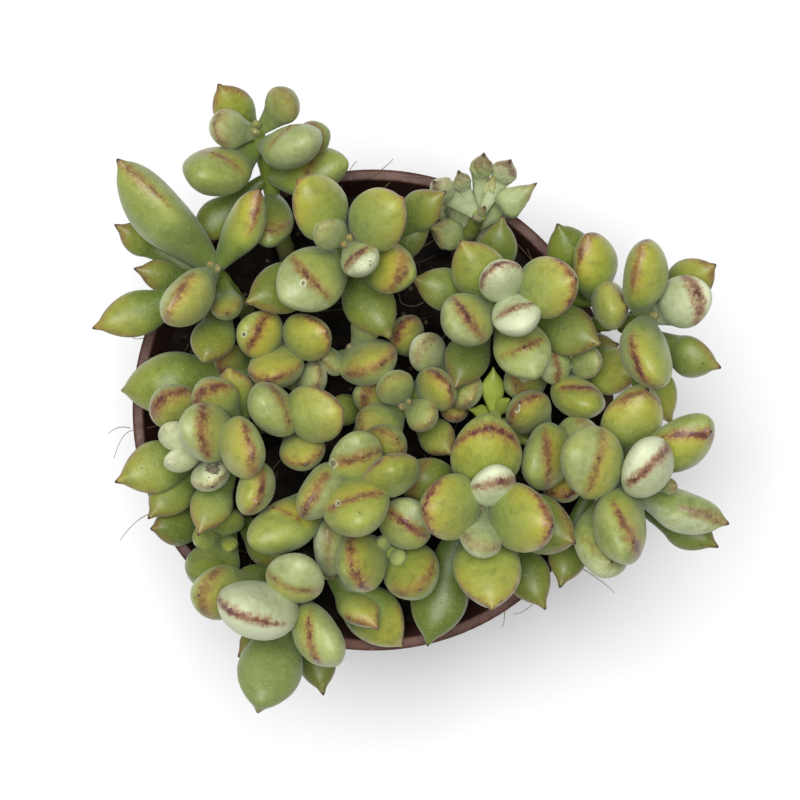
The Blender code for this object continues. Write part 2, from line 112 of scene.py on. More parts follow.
# The plan, in millimetres from the pot's axis. Each stem has its crown (x, y as seen,
# height above the rim), its root (x, y in the soil), and its pairs of leaves, youngest
# first. Each leaf has the middle of its blade (x, y as seen) and its width, then the
# heading of its broad edge in degrees where that isn't square to the leaf, then the
# slope in degrees and the length for its width where these aren't the rule's.
MM = 0.001
SHOOTS = {
    "back_left": ((-29, 70, 26), (-21, 36), (
        ((-35.5, 70, 9.5), (-23, 75.5, 9)),
        ((-20.5, 66.5, 14, 22), (-38.5, 60.5, 15, -12)),
        ((-34.5, 74.5, 10), (-15.5, 66.5, 9)),
        ((-16.5, 61, 14, 35, None, 1.5), (-39, 48, 9.5, None, 8)),
        ((-25.5, 47.5, 11, None, 40, 1.7),),
    )),
    "left_tall": ((-39.5, 35.5, 24), (-30.5, 22.5), (
        ((-33, 46, 12, 80, 34, 1.75), (-46.5, 28.5, 14.5, 60)),
        ((-50.5, 51.3, 18, -50, 24, 1.8), (-36.5, 26.5, 8)),
        ((-59, 24, 11, None, 12, 1.75), (-39, 18, 10.5)),
        ((-52.5, 33.5, 8), (-58, 42.5, 8)),
    )),
    "left_yellow": ((-23, 17.5, 12), (-22, 16), (
        ((-29, 19, 12, 60), (-16, 18.5, 12.5, -50)),
        ((-22.5, 10.5, 13.5),),
    )),
    "back_middle": ((-6.5, 42, 33), (-7, 30), (
        ((-10, 45, 8.5), (-3.5, 38, 9.5)),
        ((-14, 48.5, 14, 60), (1.5, 47.5, 14.5, -60)),
        ((-15, 33, 15.5, -45), (3.5, 35.5, 12, 75)),
        ((-22.5, 30.5, 12.5, -50), (12, 49.5, 9.5)),
        ((-1, 26.5, 12.5, 20), (6.5, 42.5, 10.5)),
    )),
    "middle_shade": ((-5, 15, 6), (-5, 13.5), (
        ((-2, 19, 7.5), (-10.5, 10, 8)),
        ((-2, 12, 14.5, 22),),
    )),
    "back_crinkled": ((26.5, 48.5, 12), (22, 40), (
        ((17.5, 54.5, 7), (22.3, 56.5, 4.5, None, None, 2)),
        ((27, 60, 5.5, None, None, 2), (32.5, 59, 6.5)),
        ((28.5, 54, 6.5), (35.5, 52.5, 7.5, None, None, 1.7)),
        ((22.5, 50.3, 8.5), (19, 43.8, 8)),
        ((18, 49.5, 5), (27, 43.5, 6)),
    )),
    "back_right": ((33.8, 28.2, 28), (25.5, 22.5), (
        ((32.2, 31.7, 11), (35.5, 24.3, 11.5)),
        ((24, 23, 13.5, -52), (43.5, 30.5, 14.5, -75)),
        ((37, 15.5, 13.5, 20), (26.5, 34.5, 13, 15)),
        ((17.5, 30, 10.5, 75), (49, 21, 12)),
        ((23, 13, 11), (31, 40, 9.5)),
    )),
    "right_low": ((49, 12, 11), (36, 8), (
        ((45.5, 12, 8.5, 90), (52.5, 12, 8.5, 90)),
        ((50.5, 3, 13, -18),),
        ((58.5, 10.5, 12, 75), (38, 7, 10.5)),
        ((55.5, 16, 8.5),),
    )),
    "right_back": ((57, 27.5, 17), (38, 27), (
        ((54.5, 36, 13, 68, 45), (59, 23, 12, 100, 58)),
        ((49, 38.5, 12, 35, 40),),
    )),
    "right_far": ((69, 23, 27), (46, 20), (
        ((62.5, 31.5, 14.5, 75, 56), (69, 14.5, 15.5, -60, 58)),
        ((77.5, 27, 12.5, -75),),
        ((78.5, 32, 10.5), (69, 4, 10.5, None, 0)),
        ((79, 13.5, 11, -50, None, 1.25),),
    )),
    "right_front": ((68, -20, 28), (45, -13), (
        ((67.5, -14, 14.5, 50), (73.5, -19, 4)),
        ((62.5, -28.5, 16.5, -70), (54, -13, 17, 80)),
        ((75.5, -8, 15.5, 15), (52.5, -31, 14.5, -35)),
        ((77, -24, 14.5, -20), (64, -1, 14.5, 25)),
        ((78, -29.5, 10), (48, -36, 9.5)),
    )),
    "right_inner": ((45.5, -7.5, 12), (37, -3), (
        ((43, -12, 15.5, 85), (50.5, -6, 11)),
        ((39, 0, 12), (47, -17.5, 10.5)),
    )),
    "front_middle": ((28, -24.5, 31), (24, -17.5), (
        ((29.5, -18.5, 11, 15), (27, -31, 10.5, -20)),
        ((19, -24, 15.5, 85), (37, -26.5, 16, -80)),
        ((28, -11, 16.5, 0), (28.5, -38.5, 16, 0)),
        ((14.5, -17.5, 12, 60), (43.5, -27, 14, -85)),
        ((39, -40.5, 11), (15, -46, 14, 10)),
    )),
    "front_twins": ((4.5, -35.5, 20), (6.5, -27.5), (
        ((2.5, -33.5, 4.5), (6, -36.5, 4.5)),
        ((8.5, -27.5, 13.5, -38), (-4, -37, 14.5, -70)),
        ((10.5, -40.5, 14),),
    )),
    "front_pointed": ((-11, -41, 10), (-5.5, -31), (
        ((-10.5, -34, 13.5, 90), (0.5, -51.5, 14, None, 12)),
        ((-7, -47.5, 10),),
    )),
    "middle_left": ((-5.5, -17.5, 27), (-5.5, -10), (
        ((-5, -21.5, 16, 20),),
        ((-6.5, -13, 13, 20), (9, -15, 14, 15), (-17, -14.5, 13.5, 50)),
        ((-21.5, -28, 15.5, 10), (3.5, -7.5, 11)),
    )),
    "left_inner_top": ((-34.5, -7, 24), (-27.5, -3.5), (
        ((-39.5, -4, 14, -78), (-29, -5.5, 14.5, -80)),
        ((-38.5, 1.5, 11), (-28.5, -21, 12.5, 75)),
        ((-34.5, 4, 9.5), (-40.5, -22.5, 10)),
    )),
    "left_inner_bright": ((-20, -1, 20), (-18, 2.5), (
        ((-24.5, -1.5, 14, -55), (-15.5, -0.5, 14.5, -60)),
        ((-18, -10, 11),),
    )),
    "left_front": ((-42.5, -9.5, 20), (-36, -7.5), (
        ((-48.5, -6.5, 8.5, 20), (-47.5, -11, 8.5, 30)),
        ((-48.5, 0, 12), (-41, -17, 10, 25)),
        ((-54, -14.5, 12.5, None, 20),),
        ((-50, -20, 10.5),),
    )),
    "left_spoon": ((-27.5, 9.5, 6), (-24.5, 9.5), (
        ((-50, 6.5, 16, 90, 5), (-15.5, 5.5, 9.5)),
        ((-35, 12, 8.5), (-27.5, 3.5, 9.5)),
    )),
    "left_spotted": ((-37.5, -30, 7), (-31, -24.5), (
        ((-41.5, -31.5, 6.5), (-36, -33.5, 4.5)),
        ((-36.5, -27, 9, 0), (-38.5, -39, 13)),
        ((-48, -28.5, 10.5), (-27, -34, 10.5)),
    )),
    "front_left": ((-21.5, -48, 24), (-17, -37.5), (
        ((-28.5, -48.5, 18, -22), (-19.5, -40.5, 14, -15)),
        ((-13, -55.5, 15, -65), (-36.5, -45.5, 13, None, None, 1.75)),
        ((-25.5, -64, 15.5),),
        ((-30.5, -57.5, 5), (-25.5, -58.5, 4)),
        ((-14, -62.5, 9.5), (-30, -42, 9.5)),
    )),
    "middle": ((8, 1.5, 10), (6.5, 2.5), (
        ((5.5, 5.5, 9.5), (12, -1, 8.5)),
        ((16, 6.5, 11.5), (2.5, -4, 12)),
        ((1, 4.5, 10), (16, -6, 9)),
        ((-1.5, -7, 9), (-7, 0, 8)),
    )),
    "middle_back": ((19, 9, 4), (20, 10), (
        ((14, 12.5, 10), (24, 5.5, 9.5)),
        ((7.5, 17.5, 10), (20, 0, 7)),
    )),
    "sprout": ((30.3, -1.5, 9), (30.3, -0.5), (
        ((29, 5.2, 5.8, None, 25, 1.8), (32.5, 1.2, 4, None, 50, 1.8)),
        ((27, -0.5, 3.8, None, 40, 1.6), (36, -6, 4.5, None, 20, 1.9)),
    )),
}


def unit(vector):
    return vector / max(np.linalg.norm(vector), 1e-12)


def from_plan(x, y, height):
    """The true x, y of a thing that the eye sees at x, y on the rim's level."""
    nearer = (EYE_HEIGHT - height) / EYE_HEIGHT
    return np.array([EYE[0] + (x - EYE[0]) * nearer, EYE[1] + (y - EYE[1]) * nearer])


class Stem:
    """A stem's middle line: upright in the soil, then an even curve to its crown."""

    STEPS = 24

    def __init__(self, crown, root):
        top = crown[2] * MM
        self.foot = np.array([root[0] * MM, root[1] * MM, SOIL_TOP])
        self.crown = np.array([*from_plan(crown[0] * MM, crown[1] * MM, top), POT_HEIGHT + top])
        rise = self.crown[2] - self.foot[2]
        pull = np.array([0, 0, rise * 0.45])
        away = np.linalg.norm((self.crown - self.foot)[:2])
        lean = unit(self.crown - self.foot + np.array([0, 0, 0.45 * rise - 0.6 * away]))
        self.bends = (self.foot, self.foot + pull, self.crown - lean * rise * 0.35, self.crown)

    def at(self, share):
        a, b, c, d = self.bends
        rest = 1 - share
        return (
            a * rest**3 + b * 3 * rest**2 * share + c * 3 * rest * share**2 + d * share**3
        )

    def below_crown(self, drop):
        """The point a little way down the stem from its crown."""
        length = np.linalg.norm(self.crown - self.foot)
        return self.at(max(0.12, 1 - drop / length))

    def line(self):
        start = self.foot - np.array([0, 0, STEM_DEPTH - CLEAR])
        return [start] + [self.at(step / self.STEPS) for step in range(self.STEPS + 1)]

    def radius(self, step):
        share = max(0, step - 1) / self.STEPS
        return STEM_RADIUS + (STEM_TIP_RADIUS - STEM_RADIUS) * share


class Leaf:
    """A leaf: where its blade starts, where it points, and its broad side's heading."""

    def __init__(self, shoot, stem, pair, row):
        x, y, width, heading, slope, ratio = (*row, None, None, None)[:6]
        self.shoot, self.pair = shoot, pair
        self.joint = stem.below_crown(PAIR_DROPS[pair])
        self.width = width * MM
        self.length = self.width * (ratio or LEAF_RATIO)
        self.thick = self.width * THICK_RATIO
        lowest = math.radians(LOWEST_SLOPES[pair] if slope is None else slope)
        reach = BLADE_MIDDLE * self.length
        self.base = self.joint.copy()
        rise = reach * math.sin(lowest)
        for _ in range(4):
            away = from_plan(x * MM, y * MM, self.joint[2] + rise - POT_HEIGHT) - self.joint[:2]
            across = np.linalg.norm(away)
            flat = min(across, reach * math.cos(lowest))
            rise = math.sqrt(reach**2 - flat**2)
        away = away / max(across, 1e-9)
        self.base[:2] += away * (across - flat)
        self.along = unit(np.array([*(away * flat), rise]))
        if heading is None:
            broad = np.array([-away[1], away[0], 0])
        else:
            broad = np.array(
                [math.cos(math.radians(heading)), math.sin(math.radians(heading)), 0]
            )
        self.broad = unit(broad - (broad @ self.along) * self.along)

    @property
    def middle(self):
        return self.base + self.along * self.length * BLADE_MIDDLE

    def axes(self):
        """Rows: the broad side, the upper side and the leaf's own direction."""
        return np.array([self.broad, np.cross(self.along, self.broad), self.along])

    def turn(self, spin):
        """Turns the leaf about its base by a small rotation vector."""
        self.along = unit(self.along + np.cross(spin, self.along))
        broad = self.broad + np.cross(spin, self.broad)
        self.broad = unit(broad - (broad @ self.along) * self.along)


def all_leaves():
    """Every stem by name, and every leaf."""
    stems = {name: Stem(crown, root) for name, (crown, root, _) in SHOOTS.items()}
    leaves = [
        Leaf(name, stems[name], pair, row)
        for name, (_, _, pairs) in SHOOTS.items()
        for pair, rows in enumerate(pairs)
        for row in rows
    ]
    return stems, leaves


def sphere_points():
    """Points spread over a unit ball, which stand for a blade's skin."""
    points = []
    for band, count in ((-60, 5), (-20, 8), (20, 8), (55, 7), (90, 1)):
        for step in range(count):
            turn = 2 * math.pi * (step + 0.5 * (band > 0)) / count
            flat = math.cos(math.radians(band))
            points.append(
                (flat * math.cos(turn), flat * math.sin(turn), math.sin(math.radians(band)))
            )
    return np.array(points)


def fixed_points(stems, leaves):
    """Balls that no leaf may enter: the stems, the leaf stalks and the pot's rim."""
    balls = []
    for name, stem in stems.items():
        for step in range(25):
            balls.append((*stem.at(step / 24), STEM_RADIUS, name))
    for leaf in leaves:
        for step in range(1, 5):
            point = leaf.joint + (leaf.base - leaf.joint) * step / 4
            balls.append((*point, STALK_RADIUS, leaf.shoot))
    for step in range(90):
        turn = 2 * math.pi * step / 90
        for inward, down in ((0.001, 0.001), (0.003, 0.006)):
            ring = RIM_RADIUS - inward
            place = (ring * math.cos(turn), ring * math.sin(turn), POT_HEIGHT - down)
            balls.append((*place, 0.0018, ""))
    return balls


def push_out(points, radii, leaf_axes, middle, half, gap):
    """How far each point must move to leave a blade, and in which direction."""
    size = half[:, None, :] + gap[..., None] + radii[..., None]
    local = np.einsum("pki,pji->pkj", points - middle[:, None, :], leaf_axes)
    scaled = local / size
    reach = np.linalg.norm(scaled, axis=2)
    slope = scaled / size
    steep = np.linalg.norm(slope, axis=2)
    depth = np.where(reach < 1, reach * (1 - reach) / np.maximum(steep, 1e-9), 0)
    # Near the middle of a blade the short way out is through its flat side.
    depth = np.minimum(np.maximum(depth, np.where(reach < 0.3, 0.002, 0)), 0.003)
    outward = np.einsum("pkj,pji->pki", slope / np.maximum(steep, 1e-9)[..., None], leaf_axes)
    return depth, outward


def settle(stems, leaves):
    """Turns the leaves about their bases until none enters another, a stem or the rim."""
    skin = sphere_points()
    balls = fixed_points(stems, leaves)
    spots = np.array([ball[:3] for ball in balls])
    fat = np.array([ball[3] for ball in balls])
    owner = np.array([ball[4] for ball in balls])
    shoot = np.array([leaf.shoot for leaf in leaves])
    length = np.array([leaf.length for leaf in leaves])
    half = np.array([(leaf.width / 2, leaf.thick / 2, leaf.length * BLADE_HALF) for leaf in leaves])
    for _ in range(SETTLE_ROUNDS):
        base = np.array([leaf.base for leaf in leaves])
        middle = np.array([leaf.middle for leaf in leaves])
        axes = np.array([leaf.axes() for leaf in leaves])
        spin = np.zeros((len(leaves), 3))
        # Leaf against leaf
        apart = np.linalg.norm(middle[:, None] - middle[None], axis=2)
        near = apart < BLADE_HALF * (length[:, None] + length[None]) + 0.001
        first, second = np.nonzero(near & ~np.eye(len(leaves), dtype=bool))
        points = middle[first][:, None] + np.einsum(
            "pkj,pji->pki", skin[None] * half[first][:, None], axes[first]
        )
        same = shoot[first] == shoot[second]
        gap = np.where(same, -PRESS * half[second, 1], LEAF_GAP)
        gap = np.repeat(gap[:, None], len(skin), axis=1)
        depth, outward = push_out(
            points, np.zeros_like(gap), axes[second], middle[second], half[second], gap
        )
        worst = depth.argmax(axis=1)
        row = np.arange(len(first))
        push = outward[row, worst] * depth[row, worst][:, None] * 0.5
        contact = points[row, worst]
        for mover, sign in ((first, 1), (second, -1)):
            arm = contact - base[mover]
            reach = np.maximum((arm**2).sum(axis=1), (0.4 * length[mover]) ** 2)
            np.add.at(spin, mover, sign * np.cross(arm, push) / reach[:, None])
        # Leaf against the fixed balls
        apart = np.linalg.norm(middle[:, None] - spots[None], axis=2)
        near = (apart < 0.5 * length[:, None] + 0.004) & (shoot[:, None] != owner[None])
        mover, ball = np.nonzero(near)
        depth, outward = push_out(
            spots[ball][:, None],
            fat[ball][:, None],
            axes[mover],
            middle[mover],
            half[mover],
            np.full((len(mover), 1), LEAF_GAP),
        )
        push = -outward[:, 0] * depth * 0.6
        arm = spots[ball] - base[mover]
        reach = np.maximum((arm**2).sum(axis=1), (0.4 * length[mover]) ** 2)
        np.add.at(spin, mover, np.cross(arm, push) / reach[:, None])
        # Leaf above the soil
        low = middle[:, 2] - 0.5 * length * np.abs(axes[:, 2, 2]) - half[:, 1] - SOIL_TOP
        for number in np.nonzero(low < 0.001)[0]:
            up = np.array([0, 0, 0.001])
            arm = middle[number] - base[number]
            spin[number] += np.cross(arm, up) / (arm @ arm)
        for leaf, turn in zip(leaves, spin):
            size = np.linalg.norm(turn)
            leaf.turn(turn * min(1, 0.06 / max(size, 1e-9)))


# How each leaf looks, where that isn't the rule's: bloom, yellow flush, line and painted shade
# (a darker green for shade), each from 0 to 1, by the stem's name and the leaf's place in the plan.
LOOKS = {
    "back_left": {0: (0.75, 0.2, 0.5, 0.1), 1: (0.7, 0.2, 0.4, 0.1), 2: (0.35, 0.4, 1, 0),
                  3: (0.2, 0.5, 0.9, 0.1), 6: (0.25, 0.35, 0.6, 0.2), 7: (0.1, 0.2, 0.5, 0.6),
                  8: (0.1, 0.3, 0.4, 0.6)},
    "left_tall": {0: (0.3, 0.5, 0.9, 0), 1: (0.4, 0.6, 0.8, 0), 2: (0.3, 0.3, 0.6, 0.1),
                  3: (0.2, 0.4, 0.3, 0.3), 5: (0.1, 0.3, 0.3, 0.6), 7: (0.2, 0.3, 0.5, 0.3)},
    "left_yellow": {0: (0.15, 0.8, 0.8, 0), 1: (0.35, 0.5, 0.7, 0)},
    "back_middle": {0: (0.7, 0.15, 0.25, 0), 1: (0.8, 0.1, 0.85, 0), 2: (0.2, 0.6, 0.8, 0),
                    3: (0.2, 0.6, 0.8, 0), 4: (0.5, 0.35, 0.9, 0), 5: (0.2, 0.6, 0.6, 0.1)},
    "back_right": {0: (0.95, 0, 1, 0), 1: (0.9, 0, 1, 0), 2: (0.4, 0.45, 0.85, 0),
                   3: (0.3, 0.5, 1, 0), 4: (0.5, 0.3, 0.75, 0.1)},
    "right_low": {0: (0.6, 0.1, 0.8, 0.1), 1: (0.7, 0.1, 0.3, 0.1), 2: (0.05, 1, 1, 0.1)},
    "right_back": {0: (0.2, 0.5, 0.7, 0.1), 1: (0.35, 0.5, 0.5, 0), 2: (0.1, 0.2, 0.1, 0.6)},
    "right_far": {0: (0.2, 0.55, 0.8, 0), 1: (0.25, 0.5, 1, 0), 2: (0.85, 0.05, 0.9, 0)},
    "left_spotted": {0: (0.3, 0.1, 0, 0.1), 1: (0.3, 0.1, 0, 0.1), 2: (0.1, 0.2, 0.05, 0.3),
                     3: (0.2, 0.1, 0, 0.4), 4: (0.05, 0.1, 0.3, 0.7), 5: (0.1, 0.2, 0.4, 0.6)},
    "right_front": {0: (1, 0, 1, 0), 2: (0.3, 0.4, 1, 0), 3: (0.4, 0.55, 0.6, 0),
                    4: (0.3, 0.45, 1, 0), 5: (0.6, 0.1, 0.2, 0.1), 6: (0.7, 0.05, 0.6, 0.1),
                    7: (0.3, 0.55, 0.7, 0)},
    "right_inner": {0: (0.25, 0.5, 0.7, 0.1)},
    "front_middle": {0: (0.95, 0, 0.9, 0), 1: (0.85, 0.05, 0.5, 0), 2: (0.25, 0.6, 1, 0),
                     3: (0.2, 0.55, 1, 0), 4: (0.2, 0.5, 0.9, 0), 5: (0.25, 0.45, 0.7, 0),
                     9: (0.1, 0.1, 0, 0.8)},
    "front_twins": {0: (0.7, 0.1, 0, 0), 1: (0.6, 0.2, 0, 0), 2: (0.5, 0.3, 1, 0),
                    3: (0.3, 0.5, 0.9, 0)},
    "front_pointed": {0: (0.7, 0.1, 0.3, 0.1), 1: (0.15, 0.6, 0.5, 0.1)},
    "middle_left": {0: (0.2, 0.8, 1, 0), 1: (0.4, 0.4, 0.8, 0), 4: (0.15, 0.9, 0.6, 0)},
    "left_inner_top": {0: (0.55, 0.35, 0.9, 0), 1: (0.3, 0.6, 0.8, 0)},
    "left_front": {0: (1, 0, 0.15, 0), 1: (1, 0, 0.15, 0), 3: (0.85, 0.3, 0.5, 0)},
    "left_spoon": {0: (0.15, 0.2, 0.1, 0.3)},
    "front_left": {0: (1, 0.05, 1, 0), 1: (0.5, 0.5, 0.7, 0), 2: (0.35, 0.4, 1, 0),
                   3: (0.4, 0.4, 0.6, 0), 4: (0.45, 0.05, 0.3, 0.35)},
    "middle": {0: (0.45, 0.25, 0.3, 0), 1: (0.5, 0.2, 0.4, 0), 3: (0.4, 0.4, 0.4, 0)},
}
# Where the line crosses a leaf: degrees above level as seen from the leaf's widest part.
# Where it isn't set, it runs through the tip of a flat leaf and over the top of a steep one.
LINE_HEIGHT = 65
STEEP = 45
LINE_HEIGHTS = {
    "front_left": {0: 62, 1: 110, 2: 90, 4: 30},
    "front_middle": {0: 85, 1: 70, 2: 60, 3: 60, 4: 58, 5: 40, 6: 55, 7: 45},
    "front_twins": {2: 90, 3: 75},
    "middle_left": {0: 100, 1: 90, 2: 60, 3: 65, 4: 110},
    "left_inner_top": {0: 80, 1: 75, 3: 60},
    "left_inner_bright": {0: 100, 1: 50},
    "left_yellow": {0: 90, 1: 60},
    "back_middle": {1: 100, 2: 45, 3: 50, 4: 85, 5: 60},
    "back_left": {2: 110, 3: 110, 6: 75},
    "back_right": {0: 60, 1: 105, 2: 85, 3: 60, 4: 90, 5: 40},
    "right_low": {0: 95, 1: 50, 2: 100},
    "right_back": {0: 48, 1: 48},
    "right_far": {0: 50, 1: 45, 2: 75},
    "right_front": {0: 85, 2: 80, 3: 95, 4: 60, 7: 50},
    "right_inner": {0: 85},
    "middle_shade": {2: 70},
}
# Corky scars: stem, leaf, place in the plan and half the width, in millimetres
SCARS = (
    ("middle_left", 0, -8.7, -23.1, 0.8),
    ("middle_left", 1, -10.0, -13.4, 1.2),
    ("left_yellow", 0, -32.1, 18.9, 0.7),
    ("back_middle", 4, -17.4, 31.6, 0.9),
    ("right_low", 4, 37.6, 8.0, 1.2),
    ("right_inner", 2, 35.8, 0.3, 1.0),
    ("left_front", 3, -39.9, -14.6, 2.6),
)
SPECKLED = ("left_spotted", "left_front")
YOUNG_WIDTH = 0.0115

# The shrivelled stem's leaves: how deep the skin is creased and how far a leaf bows
CREASED_LOOKS = (0.85, 0.05, 0.5, 0)
CREASES = {0: (0.02, 0), 2: (0.09, 0), 4: (0.09, 0), 5: (0.03, -0.30), 6: (0.10, 0)}
CREASE = (0.025, 0)

# Fine leaves
LEAF_AROUND = 40
LEAF_ALONG = 36
MUCRO_LENGTH = 0.0015
MUCRO_RADIUS = 0.0010
YOUNG_MUCRO = 0.45
BUD_WIDTH = 2.5
BUDLESS = ("sprout", "left_spotted", "front_twins")


def leaf_form(share, blunt):
    """Half the width and half the thickness along a leaf, as parts of the widest."""
    beyond = np.clip((share - WIDEST) / (1 - WIDEST), 0, 1)
    grown = np.sin(math.pi / 2 * (np.minimum(share, WIDEST) / WIDEST) ** 0.9)
    grown = (STALK_WIDTH + (1 - STALK_WIDTH) * grown) * np.minimum(1, share * 60) ** 0.5
    end = (1 - beyond ** (1.85 + 0.15 * blunt)) ** (0.76 - 0.2 * blunt)
    wide = np.where(share > WIDEST, end, grown)
    thick = np.where(share > WIDEST, (1 - beyond**2.2) ** (0.60 - 0.05 * blunt), grown)
    return wide, thick


def buds_of(name, stem):
    """The two closed leaves at a stem's crown, square to its youngest pair."""
    crown, _, pairs = SHOOTS[name]
    way = math.atan2(pairs[0][0][1] - crown[1], pairs[0][0][0] - crown[0]) + math.pi / 2
    shift = 0.3 * BUD_WIDTH
    return [
        Leaf(name, stem, 0, (crown[0] + side * math.cos(way), crown[1] + side * math.sin(way),
                             BUD_WIDTH, None, 78, 1.8))
        for side in (-shift, shift)
    ]


def leaf_looks(leaf, number, draw):
    """Bloom, flush, line and painted shade of one leaf."""
    young = leaf.pair == 0 and leaf.width < YOUNG_WIDTH
    bloom = 0.75 if young else (0.40, 0.32, 0.24, 0.18, 0.15)[leaf.pair]
    line = 0.5 if young else (0.85, 0.8, 0.6, 0.45, 0.3)[leaf.pair]
    flush = 0.1 if young else (0.5, 0.5, 0.4, 0.3, 0.2)[leaf.pair]
    # Painted shade: the lower pairs get more of the darker green, for the shade they lie in
    painted_shade = (0, 0.1, 0.3, 0.55, 0.7)[leaf.pair]
    rule = CREASED_LOOKS if leaf.shoot == "back_crinkled" else (bloom, flush, line, painted_shade)
    base = LOOKS.get(leaf.shoot, {}).get(number, rule)
    spread = draw.uniform(-0.08, 0.08, 4)
    looks = np.clip(np.array(base) + spread * (np.array(base) > 0.02), 0, 1)
    looks[0] *= 0.45 + 0.55 * looks[0]
    return looks


def draw_out(ball, leaf, number, looks, draw):
    """Draws a ball's points out into a fat leaf with an edge, and gives each its values."""
    share = np.clip((1 + ball[:, 2]) / 2, 0, 1)
    turn = np.arctan2(ball[:, 1], ball[:, 0])
    axes = leaf.axes()
    slope = math.degrees(math.asin(axes[2][2]))
    creased = leaf.shoot == "back_crinkled"
    blunt = -1.3 if creased or leaf.shoot == "sprout" else np.clip((slope - 35) / 15, 0, 1)
    wide, thick = leaf_form(share, blunt)
    crease, bowed = CREASES.get(number, CREASE) if creased else (0, 0)
    across = np.cos(turn) * wide * leaf.width / 2
    edged = 1 + 0.3 * np.clip((share - 0.45) / 0.5, 0, 1)
    lift = np.sign(np.sin(turn)) * np.abs(np.sin(turn)) ** edged
    lift = lift * np.where(lift > 0, 0.9, 1.1) * thick * leaf.thick / 2
    # A slow waviness of its own for each leaf, and long folds where it has shrivelled
    wave = np.zeros(len(ball))
    for _ in range(5):
        way = draw.normal(0, 1, 3)
        wave += np.sin(ball @ way * 2.4 + draw.uniform(0, 6.3)) * draw.uniform(0.3, 1)
    for _ in range(3):
        way = draw.normal(0, 1, 3)
        wave += 0.25 * np.sin(ball @ way * 7 + draw.uniform(0, 6.3))
    swell = 1 + wave * 0.010 * np.clip(share * 4, 0, 1)
    for folds in (5, 9, 14):
        bent = turn * folds + 4 * np.sin(share * draw.uniform(4, 9) + draw.uniform(0, 6.3))
        swell += crease * (5 / folds) ** 0.5 * np.sin(bent) * np.clip(share * 4, 0, 1)
    across, lift = across * swell, lift * swell
    up = share * leaf.length
    lift = lift - leaf.length * (0.035 + bowed) * np.sin(math.pi * share) ** 2
    # The plane that the line lies in, and the point where it crosses the leaf's end
    upper = lift * (1 if axes[1][2] >= 0 else -1)
    rule = slope if slope < STEEP else LINE_HEIGHT
    tilt = math.radians(LINE_HEIGHTS.get(leaf.shoot, {}).get(number, rule) - slope)
    forward = up - WIDEST * leaf.length
    side = upper * math.cos(tilt) - forward * math.sin(tilt)
    reach = forward * math.cos(tilt) + upper * math.sin(tilt)
    tip = np.argmax(reach - 3 * np.hypot(across, side))
    far = np.sqrt(
        (across - across[tip]) ** 2 + (lift - lift[tip]) ** 2 + (up - up[tip]) ** 2
    )
    size = YOUNG_MUCRO if leaf.pair == 0 else 1
    size = 1.2 if creased else size * (1 - 0.35 * max(blunt, 0))
    point = MUCRO_LENGTH * size * np.exp(-((far / (MUCRO_RADIUS * size**0.25)) ** 2))
    point = point * (share > 0.3)
    up = up + point * math.cos(tilt)
    lift = lift + point * math.sin(tilt) * (1 if axes[1][2] >= 0 else -1)
    stalk = np.clip(1 - share / STALK_END, 0, 1) ** 2
    place = leaf.base + (leaf.joint - leaf.base) * stalk[:, None]
    place = place + axes[0] * across[:, None] + axes[1] * lift[:, None]
    place = place + axes[2] * up[:, None]
    values = [share, side * 1000, reach / leaf.length / 0.4, far * 1000 / min(size, 1)]
    values += [np.full(len(ball), value) for value in (*looks, draw.uniform())]
    return place, np.array(values + scar_offsets(leaf, number, place, upper))


def scar_offsets(leaf, number, place, upper):
    """How far each point is seen to be from the leaf's scar, in the scar's half widths."""
    for stem, own, x, y, size in SCARS:
        if (stem, own) == (leaf.shoot, number):
            nearer = EYE_HEIGHT / (EYE_HEIGHT + POT_HEIGHT - place[:, 2])
            seen = (np.array(EYE) + (place[:, :2] - EYE) * nearer[:, None]) / MM
            below = np.where(upper < 0, 9, 0)
            return [(seen[:, 0] - x) / size + below, (seen[:, 1] - y) / size + below]
    return [np.full(len(place), 9.0)] * 2


LAYERS = (
    "along", "line_side", "reach", "from_tip", "bloom", "flush", "line", "painted_shade", "chance",
    "scar_x", "scar_y",
)


def stem_mesh(stem):
    """A stem as a mesh: a smooth curve with its own thickness at each point."""
    curve = bpy.data.curves.new("stem", "CURVE")
    curve.dimensions = "3D"
    curve.bevel_depth = 1.0
    curve.bevel_resolution = 4
    curve.use_fill_caps = True
    line = stem.line()
    spline = curve.splines.new("POLY")
    spline.points.add(len(line) - 1)
    for step, (point, place) in enumerate(zip(spline.points, line)):
        point.co = (*place, 1)
        ringed = 1 + 0.10 * (step % 4 == 0)
        point.radius = stem.radius(step) * ringed
    holder = bpy.data.objects.new("stem", curve)
    bpy.context.scene.collection.objects.link(holder)
    bpy.context.view_layer.update()
    graph = bpy.context.evaluated_depsgraph_get()
    mesh = bpy.data.meshes.new_from_object(holder.evaluated_get(graph))
    bpy.data.objects.remove(holder)
    bpy.data.curves.remove(curve)
    return mesh


def finish_piece(name, shape, *materials):
    """Turns a bmesh into a smooth piece that rides on the frame's body."""
    mesh = bpy.data.meshes.new(name)
    shape.to_mesh(mesh)
    shape.free()
    mesh.shade_smooth()
    for material in materials:
        mesh.materials.append(material)
    piece = bpy.data.objects.new(name, mesh)
    bpy.context.scene.collection.objects.link(piece)
    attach(piece, "root")
    return piece


